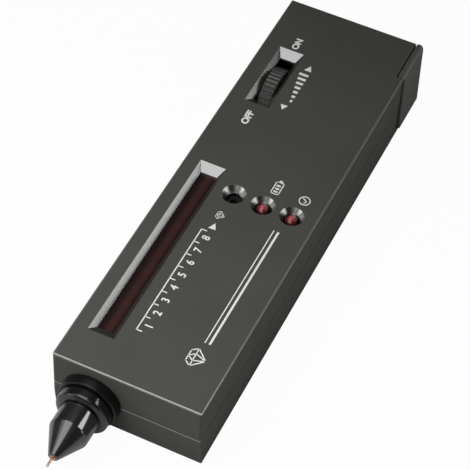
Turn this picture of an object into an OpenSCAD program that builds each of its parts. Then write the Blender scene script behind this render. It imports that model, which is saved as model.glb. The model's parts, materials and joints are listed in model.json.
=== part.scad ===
// Hand-held diamond tester: a slim case of two shells with a thermal probe, a bar of scale lamps,
// a thumb wheel and a sliding end cover over a nine volt battery.
// Frame: +Z up, the origin in the middle of the base, the probe towards -Y. Sizes in millimetres.

/* [Case] */
// Width of the case
case_w = 38; // [37.6:0.2:42]
// Length of the case without the probe
case_l = 133.6; // [131:0.2:150]
// Height of the case
case_h = 21; // [20.6:0.1:24]
// Thickness of the side walls and of the floor
wall = 1.6; // [1.4:0.1:1.8]
// Thickness of the top wall
top_wall = 2.0; // [1.9:0.1:2.3]
// Thickness of the front wall
front_wall = 2.7; // [2.4:0.1:3.2]
// Height of the line where the shells part
parting_z = 10.7; // [10:0.1:11.4]
// How far the lower front leans back at the base
front_lean = 1.1; // [0.4:0.1:1.4]
// Radius of the long outer edges
edge_r = 0.4; // [0.2:0.1:0.6]
// Radius of the upright corners
corner_r = 0.6; // [0.3:0.1:1]
// Height of the shadow groove above the parting line
groove_h = 0.25; // [0.15:0.05:0.4]
// Depth of the shadow groove
groove_in = 0.3; // [0.2:0.05:0.5]
// Height of the inner lip that lines the shells up
lip_h = 1.0; // [0.8:0.1:1.6]
// Thickness of the inner lip
lip_t = 0.7; // [0.6:0.05:0.8]
// Clearance between pieces that are put together
fit = 0.1; // [0.05:0.01:0.15]

/* [Recesses] */
// Depth of the bevel round the window and the wheel
bevel_depth = 1.5; // [1.2:0.1:1.7]
// Width of the bevel along the sides of a recess
bevel_side = 1.3; // [1:0.1:1.6]
// Width of the bevel at the ends of a recess
bevel_end = 2.45; // [1.8:0.05:3]
// Sideways place of the lamp window
window_x = -11.7; // [-12.2:0.1:-11.2]
// Start of the window, from the front face
window_start = 9.95; // [9.6:0.05:11]
// Length of the window over its bevels
window_l = 59.6; // [58.4:0.2:60.6]
// Width of the window over its bevels
window_w = 6.9; // [6.4:0.1:7.2]
// Length of the wheel recess over its bevels
recess_l = 22; // [21:0.5:24]
// Width of the wheel recess over its bevels
recess_w = 6.8; // [6.6:0.1:7.2]
// Thickness of the red filter under the window
filter_t = 1.4; // [1:0.1:1.5]
// How far the filter laps under the top wall
filter_lap = 0.9; // [0.6:0.1:1.3]

/* [Lamps] */
// Number of bar lamps under the window
bar_count = 12; // [10:1:12]
// Spacing of the bar lamps
bar_pitch = 4.3; // [4.1:0.05:4.35]
// Place of the first bar lamp, from the front face
bar_start = 17; // [16.5:0.1:17.4]
// Width of a bar lamp across the window
bar_w = 5; // [4.4:0.1:5.2]
// Thickness of a bar lamp along the window
bar_t = 2; // [1.6:0.1:2.6]
// Gap between the bar lamps and the filter
bar_gap = 0.6; // [0.3:0.1:1]
// Distance of the row of holes from the front face
hole_y = 63; // [62:0.2:64]
// Sideways place of the sound hole
sound_x = -2.9; // [-3.2:0.1:-2.6]
// Spacing of the row of holes
hole_pitch = 7.75; // [7.6:0.05:7.9]
// Diameter of a hole at the top face
cone_d = 6.2; // [5.6:0.1:6.6]
// Diameter of a hole at its bottom
hole_d = 3.7; // [3.6:0.05:3.8]
// Depth of the countersink of a hole
cone_depth = 1.7; // [1.4:0.1:1.8]
// Diameter of a round lamp
lamp_d = 3.4; // [3:0.1:3.5]
// Diameter of a round lamp's flange
lamp_flange_d = 3.8; // [3.6:0.1:4]
// Height of a round lamp with its dome
lamp_h = 5.3; // [4.6:0.1:5.6]
// Depth of a lamp's dome below the top face
lamp_sink = 0.5; // [0.4:0.1:1]

/* [Thumb wheel] */
// Distance of the wheel's middle from the left side
wheel_in = 8; // [7.7:0.1:8.2]
// How far the wheel lies behind the middle between the left bosses
wheel_off = 2; // [1:0.1:3]
// Radius of the wheel over its ribs
wheel_r = 8.5; // [8:0.1:8.8]
// Width of the wheel
wheel_w = 3.5; // [3.2:0.1:3.6]
// How far the wheel stands above the top face
wheel_proud = 0.2; // [0:0.1:0.5]
// Number of ribs round the wheel
rib_count = 40; // [30:1:48]
// Height of the ribs
rib_h = 0.35; // [0.2:0.05:0.5]
// Diameter of the potentiometer
pot_d = 12; // [11:0.2:12]
// Radius of the potentiometer's shaft
shaft_r = 2; // [1.8:0.1:2.4]
// Gap between the wheel and the potentiometer
pot_gap = 0.4; // [0.3:0.05:0.6]
// Thickness of the potentiometer's board
pot_board_t = 1.2; // [1:0.1:1.3]
// Length of the potentiometer's board
pot_board_l = 19; // [17:0.5:20]

/* [End cover] */
// Length of the wing on the right side
wing_l = 13.85; // [12:0.05:15]
// Thickness of the wing
wing_t = 1.6; // [1.4:0.1:1.8]
// Width of the seam round the wing
seam = 0.35; // [0.2:0.05:0.4]
// Radius of the wing's outer rear corner
wing_r = 1.2; // [0.8:0.1:1.4]
// Radius of the wing's outer top edge
wing_edge_r = 1.1; // [0.6:0.1:1.3]
// How far the wing stands out of the right side at its top
wing_proud = 0.45; // [0:0.05:0.6]
// How far the wing's outer face leans out towards its foot, in degrees
wing_lean = 1.4; // [0:0.1:2]
// Height of the wing's foot above the base
wing_lift = 2.6; // [2.2:0.1:4]
// Thickness of the end plate
plate_t = 1.8; // [1.5:0.1:2.2]
// Thickness of the plate's tongue
tongue_t = 1.2; // [1:0.1:1.5]
// Depth of the tongue in the top wall and the floor
tongue_in = 0.8; // [0.6:0.05:0.9]

/* [Probe] */
// Sideways place of the probe
probe_x = -8.7; // [-9:0.1:-8]
// Radius of the collar
collar_r = 7.45; // [7:0.05:7.6]
// Thickness of the collar
collar_t = 2.8; // [2.4:0.1:3.2]
// Radius of the collar's neck in the front wall
neck_r = 5.6; // [5.2:0.1:6]
// Gap between the collar's flange and the nearest wall
flange_gap = 1.3; // [1:0.1:1.7]
// Thickness of the collar's flange
flange_t = 1.6; // [1.2:0.1:2]
// Radius of the second ring
ring_r = 6.7; // [6.2:0.05:6.8]
// Width of the second ring's rim
ring_t = 2.2; // [1.8:0.1:2.4]
// Width of the groove behind the second ring
ring_groove_w = 0.5; // [0.3:0.1:0.7]
// Depth of the groove behind the second ring
ring_groove_in = 0.65; // [0.4:0.05:0.9]
// Length of the second ring's front slope
ring_slope = 0.6; // [0.5:0.1:0.9]
// Radius of the front end of that slope
ring_nose_r = 5.6; // [5.3:0.05:5.7]
// Radius of the barrel
barrel_r = 4.86; // [4.6:0.02:5]
// Length of the barrel
barrel_l = 5.6; // [5.3:0.1:6.4]
// Length of the cone
cone_l = 7.1; // [6.6:0.1:7.6]
// Radius of the cone's blunt end
cone_end_r = 1.25; // [1.1:0.05:1.35]
// Outer radius of the probe tube
tube_r = 3.55; // [3.4:0.05:3.6]
// Wall of the probe tube
tube_wall = 1.1; // [0.9:0.05:1.1]
// Length of the tube inside the case
tube_in = 9; // [8:0.2:9.4]
// Radius of the copper pin
pin_r = 0.3; // [0.25:0.01:0.32]
// How far the pin stands out of the cone
pin_out = 2.8; // [2.4:0.1:3]
// How far the pin can be pressed in
pin_travel = 1.5; // [1:0.1:1.8]
// Radius of the tip bush
bush_r = 0.75; // [0.6:0.05:0.75]
// How far the tip bush stands out of the cone
bush_out = 0.15; // [0:0.05:0.3]
// Running clearance of the pin
pin_fit = 0.05; // [0.03:0.01:0.08]
// Number of turns of the spring
spring_turns = 9; // [7:1:10]
// Radius of the spring's wire
spring_wire_r = 0.16; // [0.12:0.01:0.18]

/* [Boards] */
// Thickness of the main board
board_t = 1.6; // [1.4:0.1:1.8]
// Height of the main board's top face
board_z = 10; // [9.8:0.1:10.2]
// Start of the board's left part, from the front face
board_start_left = 15; // [14.6:0.1:15.2]
// Start of the board's right part, from the front face
board_start_right = 10.6; // [10.4:0.1:11]
// Gap from the board to the side walls
board_gap = 0.5; // [0.3:0.1:0.8]
// Diameter of the buzzer
buzzer_d = 9.6; // [9:0.1:9.8]
// Gap between the buzzer and the top wall
buzzer_gap = 1; // [0.5:0.1:3]
// Diameter of the case's screw bosses
boss_d = 6; // [5.6:0.1:6.4]
// Diameter of the case screws
case_screw_d = 2.5; // [2.2:0.1:2.6]
// Diameter of a case screw's head
case_head_d = 4.2; // [3.8:0.1:4.4]
// Height of a case screw's head
case_head_h = 1.4; // [1.2:0.1:1.6]
// Depth of a case screw's head above the base
case_head_sink = 2.2; // [1.8:0.1:2.6]
// Diameter of the board's posts
post_d = 4.6; // [4.2:0.1:5]
// Diameter of the board screws
board_screw_d = 2; // [1.8:0.1:2.2]
// Diameter of a board screw's head
board_head_d = 3.6; // [3.2:0.1:3.8]
// Height of a board screw's head
board_head_h = 1.2; // [1:0.1:1.4]
// Distance of the finger plate's middle from the front face
finger_at = 42; // [38:1:44]
// Length of the finger plate
finger_l = 42; // [36:1:44]
// Width of the finger plate
finger_w = 18; // [14:0.5:20]
// Thickness of the finger plate
finger_t = 0.4; // [0.3:0.05:0.5]
// Radius of the insulated wires
wire_r = 0.55; // [0.45:0.05:0.6]

/* [Battery] */
// Start of the battery without its studs, from the front face
bay_start = 83.8; // [83.6:0.1:84.6]
// Gap between the battery and the thumb wheel
battery_clear = 0.85; // [0.75:0.05:1.8]
// Thickness of the foam pad over the battery
pad_t = 0.8; // [0.8:0.1:1.8]
// Height of the battery's studs
stud_h = 2.8; // [2.6:0.1:3]
// Distance between the battery's studs
stud_pitch = 12.7; // [12.5:0.1:12.9]
// Radius of the round stud
stud_r = 2.85; // [2.7:0.05:2.9]
// Thickness of the snap connector's block
snap_t = 4.3; // [3.8:0.1:4.6]
// How far the snap connector stays inside the battery's sides
snap_inset = 0.3; // [0.2:0.1:0.8]
// Height of the snap connector
snap_h = 12.5; // [12:0.1:13]

/* [Hidden] */
$fn = 64;

// Overlap that cuts reach past a face
past = 1;
// Segments of a small edge rounding
edge_steps = 4;

// Outer and inner limits of the case
half_w = case_w / 2;
front_y = -case_l / 2;
rear_y = case_l / 2;
inner_x = half_w - wall;
inner_front = front_y + front_wall;
ceiling_z = case_h - top_wall;
floor_z = wall;

// Rear end: the plate with its tongue, and the wing on the right
wing_front = rear_y - wing_l;
wing_inner = half_w - wing_t;
plate_front = rear_y - plate_t;
tongue_front = plate_front - tongue_t;

// Battery bay
battery_gap = 0.4;
wheel_x = wheel_in - half_w;
battery_rear = tongue_front - battery_gap;
battery_front = front_y + bay_start;
battery_right = min(inner_x, wing_inner) - 2 * fit;
battery_left = wheel_x + wheel_w / 2 + battery_clear;
battery_w = battery_right - battery_left;
battery_t = ceiling_z - floor_z - pad_t;
battery_x = (battery_left + battery_right) / 2;
battery_z = floor_z + battery_t / 2;
snap_w = battery_w - 2 * snap_inset;
snap_rear = battery_front - stud_h - fit;
snap_front = snap_rear - snap_t;
socket_wall = 1.3;
socket_gap = 0.2;

// Screw bosses, half sunk in the side walls, and the end of the main board that two of them follow
boss_sunk = 0.3;
boss_x = inner_x - boss_d / 2 + boss_sunk;
boss_clear = 0.8;
rear_boss_clear = 3;
snap_room = 2;
board_rear = snap_front - snap_room;
case_screw_at = [
    [boss_x, inner_front + boss_d / 2 + boss_clear],
    [boss_x, board_rear - boss_d / 2 - fit],
    [-boss_x, board_rear + boss_d / 2 + rear_boss_clear],
    [-boss_x, tongue_front - boss_d / 2 - rear_boss_clear]
];
boss_cap = 1.2;
boss_hole_top = ceiling_z - boss_cap;

// Wheel, between the two left bosses
wheel_at_y = (case_screw_at[2].y + case_screw_at[3].y) / 2 + wheel_off;
wheel_at_z = case_h + wheel_proud - wheel_r;
pot_board_left = -inner_x + fit;
pot_left = pot_board_left + pot_board_t;
pot_right = wheel_x - wheel_w / 2 - pot_gap;
pot_board_gap = 0.3;
shaft_flange_r = shaft_r + 0.8;
shaft_flange_at = pot_left + 0.5;
shaft_flange_t = 0.7;
hub_sink = 1.5;
shaft_end = wheel_x + wheel_w / 2 - hub_sink;
wheel_head_r = shaft_r + 0.6;
wheel_shank_r = 0.8;
wheel_shank_l = 2.2;

// Main board
board_x = inner_x - board_gap;
board_bottom = board_z - board_t;
board_step_x = -1;
lamp_xs = [sound_x + hole_pitch, sound_x + 2 * hole_pitch];

// Posts for the board, which stand clear of the walls
board_notch = boss_d + boss_clear;
board_edge = 3.2;
board_step_edge = 2.6;
board_screw_at = [
    [-board_x + board_edge, board_rear - board_edge],
    [boss_x - board_notch / 2 - board_edge, board_rear - board_edge],
    [board_step_x - board_step_edge, front_y + board_start_left + board_edge],
    [board_x - board_edge, front_y + board_start_right + board_edge]
];

// Places of the parts on the board: sideways, and from the front face
column_in = 5.9;
column_x = board_x - column_in;
driver_at = [0.5, 37];
amplifier_at = [column_x, 30];
trimmer_at = [column_x, 42.5];
capacitor_at = [column_x, 51];
resistor_rows = [[1.4, 50.6, 3], [column_x, 18.6, 2]];
driver_pins = 18;
amplifier_pins = 8;

// Probe: distances along its axis, outwards from the front face
probe_room = min(ceiling_z - parting_z, parting_z - floor_z, inner_x + probe_x);
flange_r = probe_room - flange_gap;
ring_start = collar_t;
rim_start = ring_start + ring_groove_w;
rim_end = rim_start + ring_t;
ring_end = rim_end + ring_slope;
barrel_start = ring_end + fit;
barrel_end = barrel_start + barrel_l;
cone_end = barrel_end + cone_l;
pin_end = cone_end + pin_out;
tube_bore_r = tube_r - tube_wall;
tube_hole_r = tube_r + fit / 2;
tube_end = barrel_end - fit;
chamber_r = tube_bore_r - pin_fit;
chamber_l = 2.3;
chamber_end = barrel_end + chamber_l;
head_room_r = 1.25;
head_gap = 0.15;
head_r = head_room_r - head_gap;
bush_l = 2;
bush_seat = cone_end - bush_l;
bush_flange_t = 0.8;
bush_flange_r = head_room_r - pin_fit;
head_front = bush_seat - bush_flange_t - pin_fit;
head_t = 0.85;
spring_front = head_front - head_t;
spring_spare = 2.3;
spring_l = 2 * spring_wire_r * spring_turns + pin_travel + spring_spare;
seat_front = spring_front - spring_l;
seat_t = 0.7;
heater_gap = 0.3;
heater_front = seat_front - seat_t - heater_gap;
heater_t = 2.2;
heater_r = 1.8;
plug_t = 1;
plug_in = 3;
terminal_x = 1.4;
terminal_r = 0.35;
terminal_out = 1.6;

// Gap between a wire's end and the board
lead_gap = 0.05;

// Finger plate under the board
finger_y = front_y + finger_at;
finger_sink = 0.1;
finger_corner_r = 1.9;
finger_corners = finger_corner_r * [1, 1, 1, 1];
plate_pin_r = 0.7;
plate_pin_inset = 3;
plate_pin_at = [0, finger_y + finger_l / 2 - plate_pin_inset];

// Colours
charcoal = [0.27, 0.27, 0.25];
black = [0.06, 0.06, 0.06];
lamp_red = [0.55, 0.05, 0.06];
filter_red = [0.2, 0.01, 0.02];
board_green = [0.1, 0.3, 0.15];
steel = [0.7, 0.7, 0.72];
brass = [0.8, 0.65, 0.3];
copper = [0.75, 0.42, 0.26];

// Points of a quarter round about a centre, from one angle on
function quarter(c, r, start) = [
    for (i = [0:edge_steps]) c + r * [cos(start + 90 * i / edge_steps), sin(start + 90 * i / edge_steps)]
];

// Rectangle with four round corners, each with its own radius, from the lower left and round
function round_box(low, high, r) = concat(
    quarter(low + [r[0], r[0]], r[0], 180),
    quarter([high.x - r[1], low.y + r[1]], r[1], 270),
    quarter(high - [r[2], r[2]], r[2], 0),
    quarter([low.x + r[3], high.y - r[3]], r[3], 90)
);

// Straight box from two corners
module box(low, high) {
    translate(low) cube(high - low);
}

// An outline in X and Z carried along Y
module along_y(y0, y1) {
    translate([0, y1, 0]) rotate([90, 0, 0]) linear_extrude(y1 - y0) children();
}

// An outline in Y and Z carried along X
module along_x(x0, x1) {
    translate([x0, 0, 0]) rotate([90, 0, 90]) linear_extrude(x1 - x0) children();
}

// Puts a piece that is drawn about +Z on the probe's axis, outwards from the front face
module on_probe() {
    translate([probe_x, front_y, parting_z]) rotate([90, 0, 0]) children();
}

// Puts a piece that is drawn about +Z on the wheel's axis, towards +X
module on_wheel_axis() {
    translate([0, wheel_at_y, wheel_at_z]) rotate([0, 90, 0]) children();
}

// A disc or tube on the local axis, from one place to another
module ring(r, start, end) {
    translate([0, 0, start]) cylinder(r = r, h = end - start);
}

// Round tube along a list of points, as one closed skin; its rings stay square to the path
module wire(path, r, sides = 8) {
    last = len(path) - 1;
    tangent = [for (i = [0:last]) unit(path[min(i + 1, last)] - path[max(i - 1, 0)])];
    side_way = [for (t = tangent) unit(cross(t, abs(t.z) > 0.8 ? [1, 0, 0] : [0, 0, 1]))];
    points = [
        for (i = [0:last], k = [0:sides - 1])
            path[i] + r * (cos(360 * k / sides) * side_way[i]
                + sin(360 * k / sides) * cross(side_way[i], tangent[i]))
    ];
    skin = [
        for (i = [0:last - 1], k = [0:sides - 1], half = [0, 1])
            let (a = i * sides + k, b = i * sides + (k + 1) % sides)
                half == 0 ? [a, b, b + sides] : [a, b + sides, a + sides]
    ];
    first_cap = [for (k = [1:sides - 2]) [0, k + 1, k]];
    last_cap = [for (k = [1:sides - 2]) [for (n = [0, k, k + 1]) last * sides + n]];
    polyhedron(points, concat(skin, first_cap, last_cap));
}

// A vector brought to length one, and the direction of an angle
function unit(v) = v / norm(v);
function spoke(angle) = [cos(angle), sin(angle)];

// Pocket with sloping sides and ends that runs through the top wall
module bevelled_pocket(x, y0, l, w) {
    top = case_h + past;
    rise = past / bevel_depth;
    bottom = case_h - bevel_depth;
    intersection() {
        along_y(y0 - past * 2, y0 + l + past * 2) polygon([
            [x - w / 2 + bevel_side, bottom], [x + w / 2 - bevel_side, bottom],
            [x + w / 2 + bevel_side * rise, top], [x - w / 2 - bevel_side * rise, top]
        ]);
        along_x(x - w, x + w) polygon([
            [y0 + bevel_end, bottom], [y0 + l - bevel_end, bottom],
            [y0 + l + bevel_end * rise, top], [y0 - bevel_end * rise, top]
        ]);
    }
    box([x - w / 2 + bevel_side, y0 + bevel_end, ceiling_z - past],
        [x + w / 2 - bevel_side, y0 + l - bevel_end, case_h]);
}

// Outside of the case between two heights, with round corners
module outline_block(z0, z1) {
    translate([0, 0, z0]) linear_extrude(z1 - z0)
        polygon(round_box([-half_w, front_y], [half_w, rear_y], corner_r * [1, 1, 1, 1]));
}

// Outside of the upper half
module upper_block() {
    round_top = edge_r * [0, 0, 1, 1];
    intersection() {
        outline_block(parting_z, case_h);
        along_y(front_y, rear_y)
            polygon(round_box([-half_w, parting_z], [half_w, case_h], round_top));
        along_x(-half_w, half_w)
            polygon(round_box([front_y, parting_z], [rear_y, case_h], round_top));
    }
}

// Outside of the lower half: its front leans back towards the base
module lower_block() {
    intersection() {
        outline_block(0, parting_z);
        along_y(front_y, rear_y)
            polygon(round_box([-half_w, 0], [half_w, parting_z], edge_r * [1, 1, 0, 0]));
        along_x(-half_w, half_w) polygon([
            [front_y, parting_z], [front_y + front_lean, edge_r], [front_y + front_lean + edge_r, 0],
            [rear_y - edge_r, 0], [rear_y, edge_r], [rear_y, parting_z]
        ]);
    }
}

// Room for the wing and its seam, the same in both shells
module wing_room() {
    box([wing_inner - seam, wing_front - seam, wing_lift - seam],
        [half_w + past, rear_y + past, case_h + past]);
}

// Room for the end plate and its tongue, open to the right
module plate_room() {
    box([-inner_x, plate_front - fit, floor_z], [half_w + past, rear_y + past, ceiling_z]);
    box([-inner_x, tongue_front - fit, floor_z - tongue_in],
        [half_w + past, plate_front + fit, ceiling_z + tongue_in]);
}

// Round seat for the probe in the front wall
module probe_seat() {
    on_probe() ring(neck_r + fit, -front_wall - past, past);
}

// Band inside the walls, where the lip of the lower shell rises
module lip_band(gap, z0, z1) {
    difference() {
        box([-inner_x - lip_t - gap, inner_front - lip_t - gap, z0],
            [inner_x + lip_t + gap, tongue_front - past, z1]);
        box([-inner_x, inner_front, z0 - past], [inner_x, rear_y, z1 + past]);
    }
}

module upper_shell() {
    color(charcoal) difference() {
        union() {
            difference() {
                upper_block();
                box([-inner_x, inner_front, parting_z - past], [inner_x, rear_y + past, ceiling_z]);
            }
            for (at = case_screw_at)
                intersection() {
                    translate([at.x, at.y, parting_z + fit])
                        cylinder(d = boss_d, h = ceiling_z - parting_z);
                    box([-inner_x - lip_t / 4, front_y, parting_z], [inner_x + lip_t / 4, rear_y, case_h]);
                }
        }
        lip_band(fit, parting_z - past, parting_z + lip_h + fit);
        // Shadow groove all round the lower edge
        difference() {
            box([-half_w - past, front_y - past, parting_z - past],
                [half_w + past, rear_y + past, parting_z + groove_h]);
            box([-half_w + groove_in, front_y + groove_in, parting_z - 2 * past],
                [half_w - groove_in, rear_y + past, parting_z + past]);
        }
        bevelled_pocket(window_x, front_y + window_start, window_l, window_w);
        bevelled_pocket(wheel_x, wheel_at_y - recess_l / 2, recess_l, recess_w);
        for (i = [0:2]) translate([sound_x + i * hole_pitch, front_y + hole_y, case_h - cone_depth]) {
            cylinder(d1 = hole_d, d2 = cone_d, h = cone_depth);
            translate([0, 0, -past - top_wall]) cylinder(d = hole_d, h = top_wall + 2 * past);
            translate([0, 0, cone_depth]) cylinder(d = cone_d, h = past);
        }
        for (at = case_screw_at)
            translate([at.x, at.y, parting_z - past])
                cylinder(d = case_screw_d + fit, h = boss_hole_top - parting_z + past);
        wing_room();
        plate_room();
        probe_seat();
    }
}

module lower_shell() {
    guide_t = 1.1;
    guide_grip = 1.2;
    rib_drop = 0.5;
    rib_clear = 1.5;
    stop_h = 1.8;
    lip_root = 0.5;
    room = [finger_w, finger_l] / 2 + fit * [1, 1];
    color(charcoal) difference() {
        union() {
            difference() {
                lower_block();
                box([-inner_x, inner_front, floor_z], [inner_x, rear_y + past, parting_z + past]);
            }
            // Lip that lines the shells up
            intersection() {
                lip_band(0, parting_z - past, parting_z + lip_h);
                box([-half_w, front_y, parting_z - lip_root], [half_w, rear_y, case_h]);
            }
            // Bosses for the case screws and posts for the board
            for (at = case_screw_at)
                intersection() {
                    translate([at.x, at.y, 0]) cylinder(d = boss_d, h = parting_z);
                    box([-half_w + edge_r, front_y, floor_z / 2], [half_w - edge_r, rear_y, case_h]);
                }
            for (at = board_screw_at)
                translate([at.x, at.y, floor_z / 2]) cylinder(d = post_d, h = board_bottom - floor_z / 2);
            // Guides for the potentiometer's board
            for (y = [wheel_at_y - pot_board_l / 2 - fit - guide_t, wheel_at_y + pot_board_l / 2 + fit])
                box([-inner_x - wall / 2, y, floor_z / 2],
                    [pot_left + guide_grip, y + guide_t, parting_z - rib_drop]);
            // Stop in front of the battery and a rib along its left side
            box([battery_left, battery_front - fit - guide_t, floor_z / 2],
                [inner_x, battery_front - fit, floor_z + stop_h]);
            box([battery_left - fit - guide_t, wheel_at_y + wheel_r + rib_clear, floor_z / 2],
                [battery_left - fit, tongue_front - rib_clear, parting_z - rib_drop]);
        }
        for (at = case_screw_at) translate([at.x, at.y, 0]) {
            translate([0, 0, -past]) cylinder(d = case_screw_d + 2 * fit, h = case_h);
            translate([0, 0, -past]) cylinder(d = case_head_d + 2 * fit, h = case_head_sink + past);
        }
        for (at = board_screw_at)
            translate([at.x, at.y, floor_z]) cylinder(d = board_screw_d + fit, h = case_h);
        // Recess for the finger plate, and the hole for its pin
        translate([0, finger_y, -past]) linear_extrude(past + finger_t + finger_sink)
            polygon(round_box(-room, room, finger_corners));
        translate([plate_pin_at.x, plate_pin_at.y, 0]) cylinder(r = plate_pin_r + fit, h = floor_z + past);
        wing_room();
        plate_room();
        probe_seat();
    }
}

// End plate with its tongue, the leaning wing on the right, and the heel that closes the side below it
module end_cover() {
    gap = 1.5 * fit;
    depth = 3 * wing_t;
    plate_low = floor_z + gap;
    tongue_low = plate_low - tongue_in;
    join_x = wing_inner + seam;
    color(charcoal) {
        intersection() {
            translate([0, 0, wing_lift]) linear_extrude(case_h - wing_lift)
                polygon(round_box([wing_inner, wing_front], [half_w + depth, rear_y], [0, 0, 0, edge_r]));
            translate([half_w + wing_proud, 0, case_h]) rotate([0, -wing_lean, 0]) intersection() {
                translate([0, 0, -2 * case_h]) linear_extrude(2 * case_h)
                    polygon(round_box([-depth, wing_front], [0, rear_y], [0, edge_r, wing_r, 0]));
                along_y(wing_front, rear_y)
                    polygon(round_box([-depth, -2 * case_h], [0, 0], wing_edge_r * [0, 0, 1, 0]));
            }
        }
        box([-inner_x + gap, tongue_front, plate_low], [join_x, rear_y, ceiling_z - gap]);
        box([-inner_x + gap, tongue_front, tongue_low], [join_x, plate_front, ceiling_z + tongue_in - gap]);
        translate([0, 0, plate_low]) linear_extrude(wing_lift + seam - plate_low)
            polygon(round_box([wing_inner, tongue_front], [half_w, rear_y], corner_r * [0, 0, 1, 0]));
        box([wing_inner, tongue_front, tongue_low], [half_w, plate_front, wing_lift]);
    }
}

module window_filter() {
    x = window_w / 2 - bevel_side + filter_lap;
    y0 = front_y + window_start + bevel_end - filter_lap;
    y1 = front_y + window_start + window_l - bevel_end + filter_lap;
    color(filter_red) box([window_x - x, y0, ceiling_z - filter_t], [window_x + x, y1, ceiling_z]);
}

module scale_lamps() {
    bar_h = ceiling_z - filter_t - bar_gap - board_z;
    color(lamp_red) for (i = [0:bar_count - 1])
        translate([window_x - bar_w / 2, front_y + bar_start + i * bar_pitch - bar_t / 2, board_z])
            cube([bar_w, bar_t, bar_h]);
}

// Round lamp with a domed end, a flange and two legs down to the board
module round_lamp(x) {
    top = case_h - lamp_sink;
    base = top - lamp_h;
    leg = 0.5;
    leg_x = 1.27;
    flange_h = 1;
    color(lamp_red) translate([x, front_y + hole_y, 0]) {
        intersection() {
            union() {
                translate([0, 0, top - lamp_d / 2]) sphere(d = lamp_d);
                translate([0, 0, base]) cylinder(d = lamp_d, h = lamp_h - lamp_d / 2);
            }
            translate([-lamp_d, -lamp_d, base]) cube([2 * lamp_d, 2 * lamp_d, lamp_h]);
        }
        translate([0, 0, base]) cylinder(d = lamp_flange_d, h = flange_h);
        for (s = [-1, 1])
            translate([s * leg_x - leg / 2, -leg / 2, board_z])
                cube([leg, leg, base + flange_h / 2 - board_z]);
    }
}

module battery_lamp() {
    round_lamp(lamp_xs[0]);
}

module ready_lamp() {
    round_lamp(lamp_xs[1]);
}

module buzzer() {
    buzzer_h = ceiling_z - board_z - buzzer_gap;
    port_r = 1;
    port_depth = 2;
    color(black) translate([sound_x, front_y + hole_y, board_z]) difference() {
        cylinder(d = buzzer_d, h = buzzer_h);
        translate([0, 0, buzzer_h - port_depth]) cylinder(r = port_r, h = port_depth + past);
    }
}

module main_board() {
    color(board_green) difference() {
        box([-board_x, front_y + board_start_right, board_bottom], [board_x, board_rear, board_z]);
        box([-board_x - past, front_y, 0], [board_step_x, front_y + board_start_left, case_h]);
        box([boss_x - board_notch / 2, board_rear - board_notch, 0], [half_w, board_rear + past, case_h]);
        for (at = board_screw_at)
            translate([at.x, at.y, 0]) cylinder(d = board_screw_d + 2 * fit, h = case_h);
    }
}

// Puts a piece on the board at a place given from the middle and the front face
module on_board(at) {
    translate([at.x, front_y + at.y, board_z]) children();
}

// Chip in a dual row case, long side along Y, standing on its legs
module chip(at, pins) {
    pitch = 2.54;
    size = [6.4, pins / 2 * pitch, 3.3];
    lift = 0.6;
    leg = 0.5;
    key_r = 0.9;
    key_depth = 0.5;
    color(black) on_board(at) {
        difference() {
            translate([-size.x / 2, -size.y / 2, lift]) cube(size);
            translate([0, -size.y / 2, lift + size.z - key_depth]) cylinder(r = key_r, h = past);
        }
        for (s = [-1, 1], i = [0:pins / 2 - 1])
            translate([s * (size.x / 2 + leg / 2) - leg / 2, (i + 0.5) * pitch - size.y / 2 - leg / 2, 0])
                cube([leg, leg, lift + size.z / 2]);
    }
}

module driver_chip() {
    chip(driver_at, driver_pins);
}

module amplifier_chip() {
    chip(amplifier_at, amplifier_pins);
}

module trimmer() {
    size = [6.6, 7, 5];
    dial_r = 1.6;
    dial_h = 0.5;
    slot = 0.7;
    color("royalblue") on_board(trimmer_at) difference() {
        union() {
            translate([-size.x / 2, -size.y / 2, 0]) cube(size);
            translate([0, 0, size.z]) cylinder(r = dial_r, h = dial_h);
        }
        translate([-dial_r - past, -slot / 2, size.z]) cube([2 * (dial_r + past), slot, dial_h + past]);
    }
}

module capacitor() {
    top_gap = 1.5;
    d = 6.3;
    h = ceiling_z - board_z - top_gap;
    score = 0.3;
    score_l = 0.7 * d;
    color("navy") on_board(capacitor_at) difference() {
        cylinder(d = d, h = h);
        for (a = [0, 90])
            rotate(a) translate([-score_l / 2, -score / 2, h - score]) cube([score_l, score, past]);
    }
}

module resistors() {
    r = 1.15;
    body = 6.2;
    span = 9;
    leg = 0.6;
    pitch = 2.7;
    color("burlywood") for (row = resistor_rows, i = [0:row[2] - 1])
        on_board([row.x, row.y + i * pitch]) {
            translate([-body / 2, 0, r]) rotate([0, 90, 0]) cylinder(r = r, h = body);
            for (s = [-1, 1]) {
                translate([min(s * body / 2, s * span / 2), -leg / 2, r - leg / 2])
                    cube([(span - body) / 2, leg, leg]);
                translate([s * (span / 2 - leg / 2) - leg / 2, -leg / 2, 0]) cube([leg, leg, r]);
            }
        }
}

// Pan-head screw along +Z from under its head
module screw(d, l, head_d, head_h) {
    slot = 0.5;
    slot_l = head_d * 0.7;
    difference() {
        union() {
            cylinder(d = d, h = l);
            translate([0, 0, -head_h]) cylinder(d = head_d, h = head_h);
        }
        for (a = [0, 90])
            rotate(a) translate([-slot_l / 2, -slot / 2, -head_h - past])
                cube([slot_l, slot, past + head_h / 2]);
    }
}

module board_screws() {
    end_gap = 1;
    l = board_z - floor_z - end_gap;
    color(steel) for (at = board_screw_at)
        translate([at.x, at.y, board_z]) rotate([180, 0, 0])
            screw(board_screw_d, l, board_head_d, board_head_h);
}

module case_screws() {
    end_gap = 0.5;
    l = boss_hole_top - case_head_sink - end_gap;
    color(steel) for (at = case_screw_at)
        translate([at.x, at.y, case_head_sink]) screw(case_screw_d, l, case_head_d, case_head_h);
}

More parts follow.
